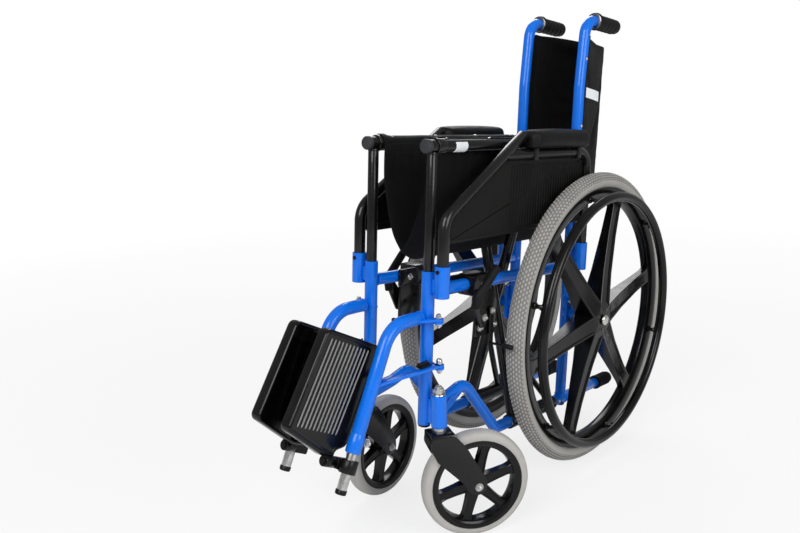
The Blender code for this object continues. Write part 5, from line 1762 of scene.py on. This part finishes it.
def settled(rows, held, slack, frames=26):
    """Grid points after a cloth simulation with some slack, held at the named (row, column) places."""
    mesh, high, wide = grid_mesh("cloth", rows)
    work = placed("cloth", mesh)
    moved = simulated(work, [r * wide + c for r, c in held], frames, quality=6, mass=0.3,
                      tension_stiffness=18, compression_stiffness=18, shear_stiffness=8,
                      bending_stiffness=1.2, shrink_min=-slack)
    bpy.data.objects.remove(work)
    bpy.data.meshes.remove(mesh)
    return [moved[r * wide:(r + 1) * wide] for r in range(high)]


def sheet_piece(name, rows, spans, thickness, look):
    """A cloth piece from grid points in world places, with its map in metres and its thickness."""
    mesh, high, wide = grid_mesh(name, rows)
    layer = mesh.uv_layers.new(name="weave")
    for polygon in mesh.polygons:
        for index in polygon.loop_indices:
            r, c = divmod(mesh.loops[index].vertex_index, wide)
            layer.data[index].uv = (c / (wide - 1) * spans[0], r / (high - 1) * spans[1])
    mesh.materials.append(finish(look))
    piece = placed(name, mesh)
    wall = piece.modifiers.new("both layers", "SOLIDIFY")
    wall.thickness = thickness
    wall.offset = 0.0
    wall.use_even_offset = True
    finer = piece.modifiers.new("finer", "SUBSURF")
    finer.levels = finer.render_levels = 1
    applied(piece)
    bm = bmesh.new()
    bm.from_mesh(piece.data)
    bmesh.ops.recalc_face_normals(bm, faces=bm.faces)
    bm.to_mesh(piece.data)
    bm.free()
    piece.data.shade_smooth()
    return piece


def folded_half(share, fall, kind):
    """A point of the left half's plain form: share along the rail or cane, fall from hem to middle fold."""
    if kind == "seat":
        hem_x = HALF_GAP - SEAT_HEM
        lean = math.acos(hem_x / SEAT_CHORD)
        down = Vector((-math.cos(lean), 0, -math.sin(lean)))
        out = Vector((math.sin(lean), 0, -math.cos(lean)))
        u = SEAT_U[0] + share * (SEAT_U[1] - SEAT_U[0])
        flare = 0.01 * (1 - share) ** 3
        lift = 0.022 * max(0.0, 1 - share / 0.1) ** 2 * fall ** 3
        fold = -0.0022 * math.sin(math.pi * fall) * (1 + math.sin(5 * math.pi * share))
        past_eye = 0.0034 * (1 - fall) * min(1.0, max(0.0, (0.034 - u) / 0.006))
        spot = Vector((hem_x - past_eye, u - flare * fall, SEAT_RAIL_V)) + down * fall * (SEAT_CHORD - 0.0016)
        round_ = 0.0125 * (1 - (1 - fall) ** 6) * (1 - fall ** 4) * max(0.0, 1 - share / 0.5) ** 0.7
        return spot + out * (fold + round_) + Vector((0, 0, lift)), out
    v = BACK_V[0] + share * (BACK_V[1] - BACK_V[0])
    lean = math.acos(HALF_GAP / BACK_CHORD)
    rear = Vector((-math.cos(lean), math.sin(lean), 0))
    out = Vector((math.sin(lean), math.cos(lean), 0))
    axis = at(0, 0.4735 + 0.0085 * share, v)
    start = (RAIL_R + 0.0006 + cane_u(v) - axis.y) / math.sin(lean)
    length = start + fall * (BACK_CHORD - start - 0.0014)
    fold = 0.0022 * math.sin(math.pi * fall) * math.sin(3 * math.pi * share + 0.6)
    sag = -0.016 * fall ** 2 * max(0.0, share - 0.6) / 0.4
    return axis + rear * length + Vector((0, 0, sag)) + out * fold, out


def sling(kind, across, along):
    """Both halves of a sling as grid points in world places, settled by simulation."""
    cloth = bpy.context.scene.wheelchair_cloth
    plain, outs = [], []
    for r in range(along + 1):
        row, row_out = [], []
        for c in range(2 * across + 1):
            fall = 1 - abs(c / across - 1)
            point, out = folded_half(r / along, fall, kind)
            if c < across:
                point, out = Vector((-point.x, point.y, point.z)), Vector((-out.x, out.y, out.z))
            if c == across:
                point.x = 0.0
            row.append(CHAIR @ point)
            row_out.append(CHAIR.to_3x3() @ out)
        plain.append(row)
        outs.append(row_out)
    held = [(r, c) for r in range(along + 1) for c in (0, across, 2 * across)]
    loose = settled(plain, held, cloth.slack)
    result = []
    for r in range(along + 1):
        row = []
        for c in range(2 * across + 1):
            before, out = plain[r][c], outs[r][c]
            fall = 1 - abs(c / across - 1)
            shift = loose[r][c] - before
            outward = shift.dot(out)
            flat = shift - out * outward
            room = 0.0035 * min(1.0, 6 * (1 - fall))
            outward = max(-0.008 * min(1.0, 5 * (1 - fall)),
                          min(room if r / along < 0.55 else 0.0012, outward))
            if flat.length > 0.0035:
                flat *= 0.0035 / flat.length
            row.append(before + flat * min(1.0, 4 * (1 - fall)) + out * outward)
        result.append(row)
    return result


def stitch_line(name, points, body):
    """A row of stitches through points in world places."""
    cloth = bpy.context.scene.wheelchair_cloth
    mesh = bpy.data.meshes.new("line")
    mesh.from_pydata([tuple(p) for p in points], [(i, i + 1) for i in range(len(points) - 1)], [])
    made = grown("stitches", mesh, spacing=cloth.stitch, stitch_length=cloth.stitch * 0.68,
                 thread_radius=0.00045)
    return deliver(name, made, body, "black_fabric", "thread", place=Matrix.Identity(4))


@shape
def rail_wraps(bm):
    """Cloth hem that wraps over the inner side of each seat rail."""
    rings = []
    count = 40
    for i in range(count + 1):
        u = SEAT_U[0] + (SEAT_U[1] - SEAT_U[0]) * i / count
        ring = []
        for radius, k in there_and_back(SEAT_RAIL_R + 0.0016, SEAT_RAIL_R + 0.0002, 12):
            angle = math.radians(78 + 112 * k / 12)
            lift = 0.0006 * math.sin(9 * i / count * math.pi) * math.sin(k / 12 * math.pi)
            lift += 0.0036 * min(1.0, max(0.0, (0.034 - u) / 0.006))
            ring.append(at((radius + lift) * math.cos(angle), u,
                           SEAT_RAIL_V + (radius + lift) * math.sin(angle)))
        rings.append(ring)
    rings_into(bm, rings)


@shape
def cane_sleeves(bm):
    """Cloth sleeve round each cane's rear half, where the back hangs."""
    rings = []
    count = 40
    for i in range(count + 1):
        v = BACK_V[0] + (BACK_V[1] - 0.01 - BACK_V[0]) * i / count
        middle = at(0, cane_u(v), v)
        ring = []
        for radius, k in there_and_back(RAIL_R + 0.0014, RAIL_R + 0.0002, 16):
            angle = math.radians(20 + 150 * k / 16)
            ring.append(middle + Vector((radius * math.cos(angle), radius * math.sin(angle), 0)))
        rings.append(ring)
    rings_into(bm, rings)


@shape
def care_tag(bm):
    """A small blank tag sewn in the back's outer seam."""
    corners = ((-1, -1), (1, -1), (1, 1), (-1, 1))
    rings = []
    for i in range(9):
        share = i / 8
        reach = 0.002 + 0.046 * share
        curl = 0.004 * math.sin(2.2 * share)
        base = at(RAIL_R + 0.002 + curl, cane_u(0.59) + 0.004 + reach, 0.588 - 0.008 * share)
        rings.append([base + Vector((a * 0.0003, 0, b * 0.01)) for a, b in corners])
    rings_into(bm, rings)


def hem_stitches(kind, rows):
    """The stitch rows along both hems of the seat or back cloth."""
    made = []
    for side, column, clear in (("right", 2, 0.0012), ("left", -3, -0.0012)):
        line = [row[column] + Vector((clear, 0, 0)) for row in rows[1:-1]]
        made.append(stitch_line(f"{side}_{kind}_stitches", line, f"{side}_{kind}_cloth"))
    return made


class WHEELCHAIR_OT_slings(bpy.types.Operator):
    """Build the folded nylon seat and back with hems and stitches"""
    bl_idname = "wheelchair.slings"
    bl_label = "Seat and back cloth"

    def execute(self, context):
        cloth = context.scene.wheelchair_cloth
        seat_spans = (2 * SEAT_CHORD, SEAT_U[1] - SEAT_U[0])
        rows = sling("seat", 26, 44)
        seat = sheet_piece("seat_sling_cloth", rows, seat_spans, cloth.thickness, "nylon")
        seat_hems = hem_stitches("seat", rows)
        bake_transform(seat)
        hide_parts("left_seat_sling", "right_seat_sling")
        back_spans = (2 * BACK_CHORD - 0.026, BACK_V[1] - BACK_V[0])
        rows = sling("back", 26, 40)
        back = sheet_piece("back_sling_cloth", rows, back_spans, cloth.thickness, "nylon")
        back_hems = hem_stitches("back", rows)
        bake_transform(back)
        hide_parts("left_back_sling", "right_back_sling")
        for side, body in (("left", "brace_b"), ("right", "brace_a")):
            single(side + "_rail_hem", rail_wraps(), body, "black_fabric", "webbing", mirror=side == "right",
                   crease=60)
        both("cane_sleeve", cane_sleeves(), "frame", "black_fabric", "webbing", crease=60)
        single("blank_tag", care_tag(), "left_frame", "black_fabric", "tag", crease=60)
        return {"FINISHED"}


# Stage

def make_camera():
    """The photograph's view: place, turn and lens."""
    yaw, pitch, roll = CAMERA_TURN
    ahead = Vector((-math.sin(yaw) * math.cos(pitch), math.cos(yaw) * math.cos(pitch), -math.sin(pitch)))
    right = Vector((math.cos(yaw), math.sin(yaw), 0))
    up = right.cross(ahead)
    turned_right = math.cos(roll) * right + math.sin(roll) * up
    turned_up = -math.sin(roll) * right + math.cos(roll) * up
    data = bpy.data.cameras.new("Photo camera")
    data.sensor_width = 36.0
    data.lens = CAMERA_LENS
    data.clip_start, data.clip_end = 0.05, 60.0
    camera = placed("Photo camera", data)
    turn = Matrix((turned_right, turned_up, -ahead)).transposed().to_4x4()
    camera.matrix_world = Matrix.Translation(CAMERA_AT) @ turn
    bpy.context.scene.camera = camera


def make_world():
    """White for the camera, a soft plain light for the rest."""
    world = bpy.data.worlds.new("Studio")
    bpy.context.scene.world = world
    world.use_nodes = True
    tree = world.node_tree
    tree.nodes.clear()
    out = tree.nodes.new("ShaderNodeOutputWorld")
    soft, white = tree.nodes.new("ShaderNodeBackground"), tree.nodes.new("ShaderNodeBackground")
    soft.inputs["Color"].default_value = (1, 1, 1, 1)
    soft.inputs["Strength"].default_value = SOFT_LIGHT
    white.inputs["Color"].default_value = (1, 1, 1, 1)
    white.inputs["Strength"].default_value = 1.0
    path, mix = tree.nodes.new("ShaderNodeLightPath"), tree.nodes.new("ShaderNodeMixShader")
    seen = sums(tree, "MAXIMUM", path.outputs["Is Camera Ray"], path.outputs["Is Transmission Ray"])
    tree.links.new(seen, mix.inputs[0])
    tree.links.new(soft.outputs[0], mix.inputs[1])
    tree.links.new(white.outputs[0], mix.inputs[2])
    tree.links.new(mix.outputs[0], out.inputs["Surface"])


def make_floor(colour):
    """A wide pale floor that keeps a soft shadow and fades to white."""
    bm = bmesh.new()
    bmesh.ops.create_grid(bm, x_segments=1, y_segments=1, size=12.0)
    mesh = bpy.data.meshes.new("floor")
    bm.to_mesh(mesh)
    bm.free()
    floor = placed("floor", mesh)
    surface = bpy.data.materials.new("Pale floor")
    surface.use_nodes = True
    tree = surface.node_tree
    shader = tree.nodes["Principled BSDF"]
    shader.inputs["Base Color"].default_value = colour
    shader.inputs["Roughness"].default_value = 0.9
    shader.inputs["Specular IOR Level"].default_value = 0.0
    glow, mix = tree.nodes.new("ShaderNodeEmission"), tree.nodes.new("ShaderNodeMixShader")
    glow.inputs["Strength"].default_value = 1.0
    path, place = tree.nodes.new("ShaderNodeLightPath"), tree.nodes.new("ShaderNodeTexCoord")
    length = tree.nodes.new("ShaderNodeVectorMath")
    length.operation = "LENGTH"
    tree.links.new(place.outputs["Object"], length.inputs[0])
    fade = spread(tree, length.outputs["Value"], *FLOOR_FADE, *FLOOR_WHITE)
    tree.links.new(sums(tree, "MULTIPLY", path.outputs["Is Camera Ray"], fade), mix.inputs[0])
    tree.links.new(shader.outputs[0], mix.inputs[1])
    tree.links.new(glow.outputs[0], mix.inputs[2])
    tree.links.new(mix.outputs[0], tree.nodes["Material Output"].inputs["Surface"])
    mesh.materials.append(surface)


def make_lamp(name, place, target, size, power):
    """One soft square lamp."""
    data = bpy.data.lights.new(name, "AREA")
    data.shape = "SQUARE"
    data.size = size
    data.energy = power
    lamp = placed(name, data)
    lamp.location = place
    lamp.rotation_euler = (Vector(target) - Vector(place)).to_track_quat("-Z", "Y").to_euler()


class WHEELCHAIR_OT_stage(bpy.types.Operator):
    """Set the camera, the pale floor and the soft lamps"""
    bl_idname = "wheelchair.stage"
    bl_label = "Stage"

    def execute(self, context):
        settings = context.scene.wheelchair_stage
        make_camera()
        make_world()
        make_floor(tuple(settings.floor))
        make_lamp("Key lamp", (0.6, -2.6, 2.3), (0, 0, 0.5), 1.6, settings.lamp)
        make_lamp("Side lamp", (2.6, -0.4, 1.5), (0, 0, 0.45), 1.4, settings.lamp * 0.55)
        make_lamp("Back lamp", (-1.4, 1.9, 2.2), (0, 0, 0.5), 1.4, settings.lamp * 0.5)
        context.scene.view_settings.view_transform = "Standard"
        return {"FINISHED"}


class WHEELCHAIR_PT_panel(bpy.types.Panel):
    """Sizes, colours and build steps of the wheelchair"""
    bl_idname = "WHEELCHAIR_PT_panel"
    bl_label = "Folding Wheelchair"
    bl_space_type = "VIEW_3D"
    bl_region_type = "UI"
    bl_category = "Wheelchair"

    def draw(self, context):
        for name, group in SETTINGS.items():
            box = self.layout.box()
            box.label(text=group.__doc__)
            settings = getattr(context.scene, name)
            for prop in group.__annotations__:
                box.prop(settings, prop)
        for step in STEPS:
            self.layout.operator(step.bl_idname)


SETTINGS = {
    "wheelchair_paint": PaintSettings,
    "wheelchair_wheels": WheelSettings,
    "wheelchair_footplates": FootplateSettings,
    "wheelchair_cloth": ClothSettings,
    "wheelchair_stage": StageSettings,
}
STEPS = [WHEELCHAIR_OT_stage, WHEELCHAIR_OT_side_frames, WHEELCHAIR_OT_seat_frame, WHEELCHAIR_OT_rear_wheels,
         WHEELCHAIR_OT_casters, WHEELCHAIR_OT_leg_rests, WHEELCHAIR_OT_armrests, WHEELCHAIR_OT_brakes,
         WHEELCHAIR_OT_slings]


def register():
    """Registers settings, build steps and the panel."""
    for name, group in SETTINGS.items():
        bpy.utils.register_class(group)
        setattr(bpy.types.Scene, name, PointerProperty(type=group))
    for step in STEPS + [WHEELCHAIR_PT_panel]:
        bpy.utils.register_class(step)


def unregister():
    """Removes what register added."""
    for step in reversed(STEPS + [WHEELCHAIR_PT_panel]):
        bpy.utils.unregister_class(step)
    for name, group in reversed(SETTINGS.items()):
        delattr(bpy.types.Scene, name)
        bpy.utils.unregister_class(group)


def main():
    """Builds the whole chair."""
    register()
    for step in STEPS:
        area, verb = step.bl_idname.split(".")
        getattr(getattr(bpy.ops, area), verb)()


if __name__ == "__main__":
    main()
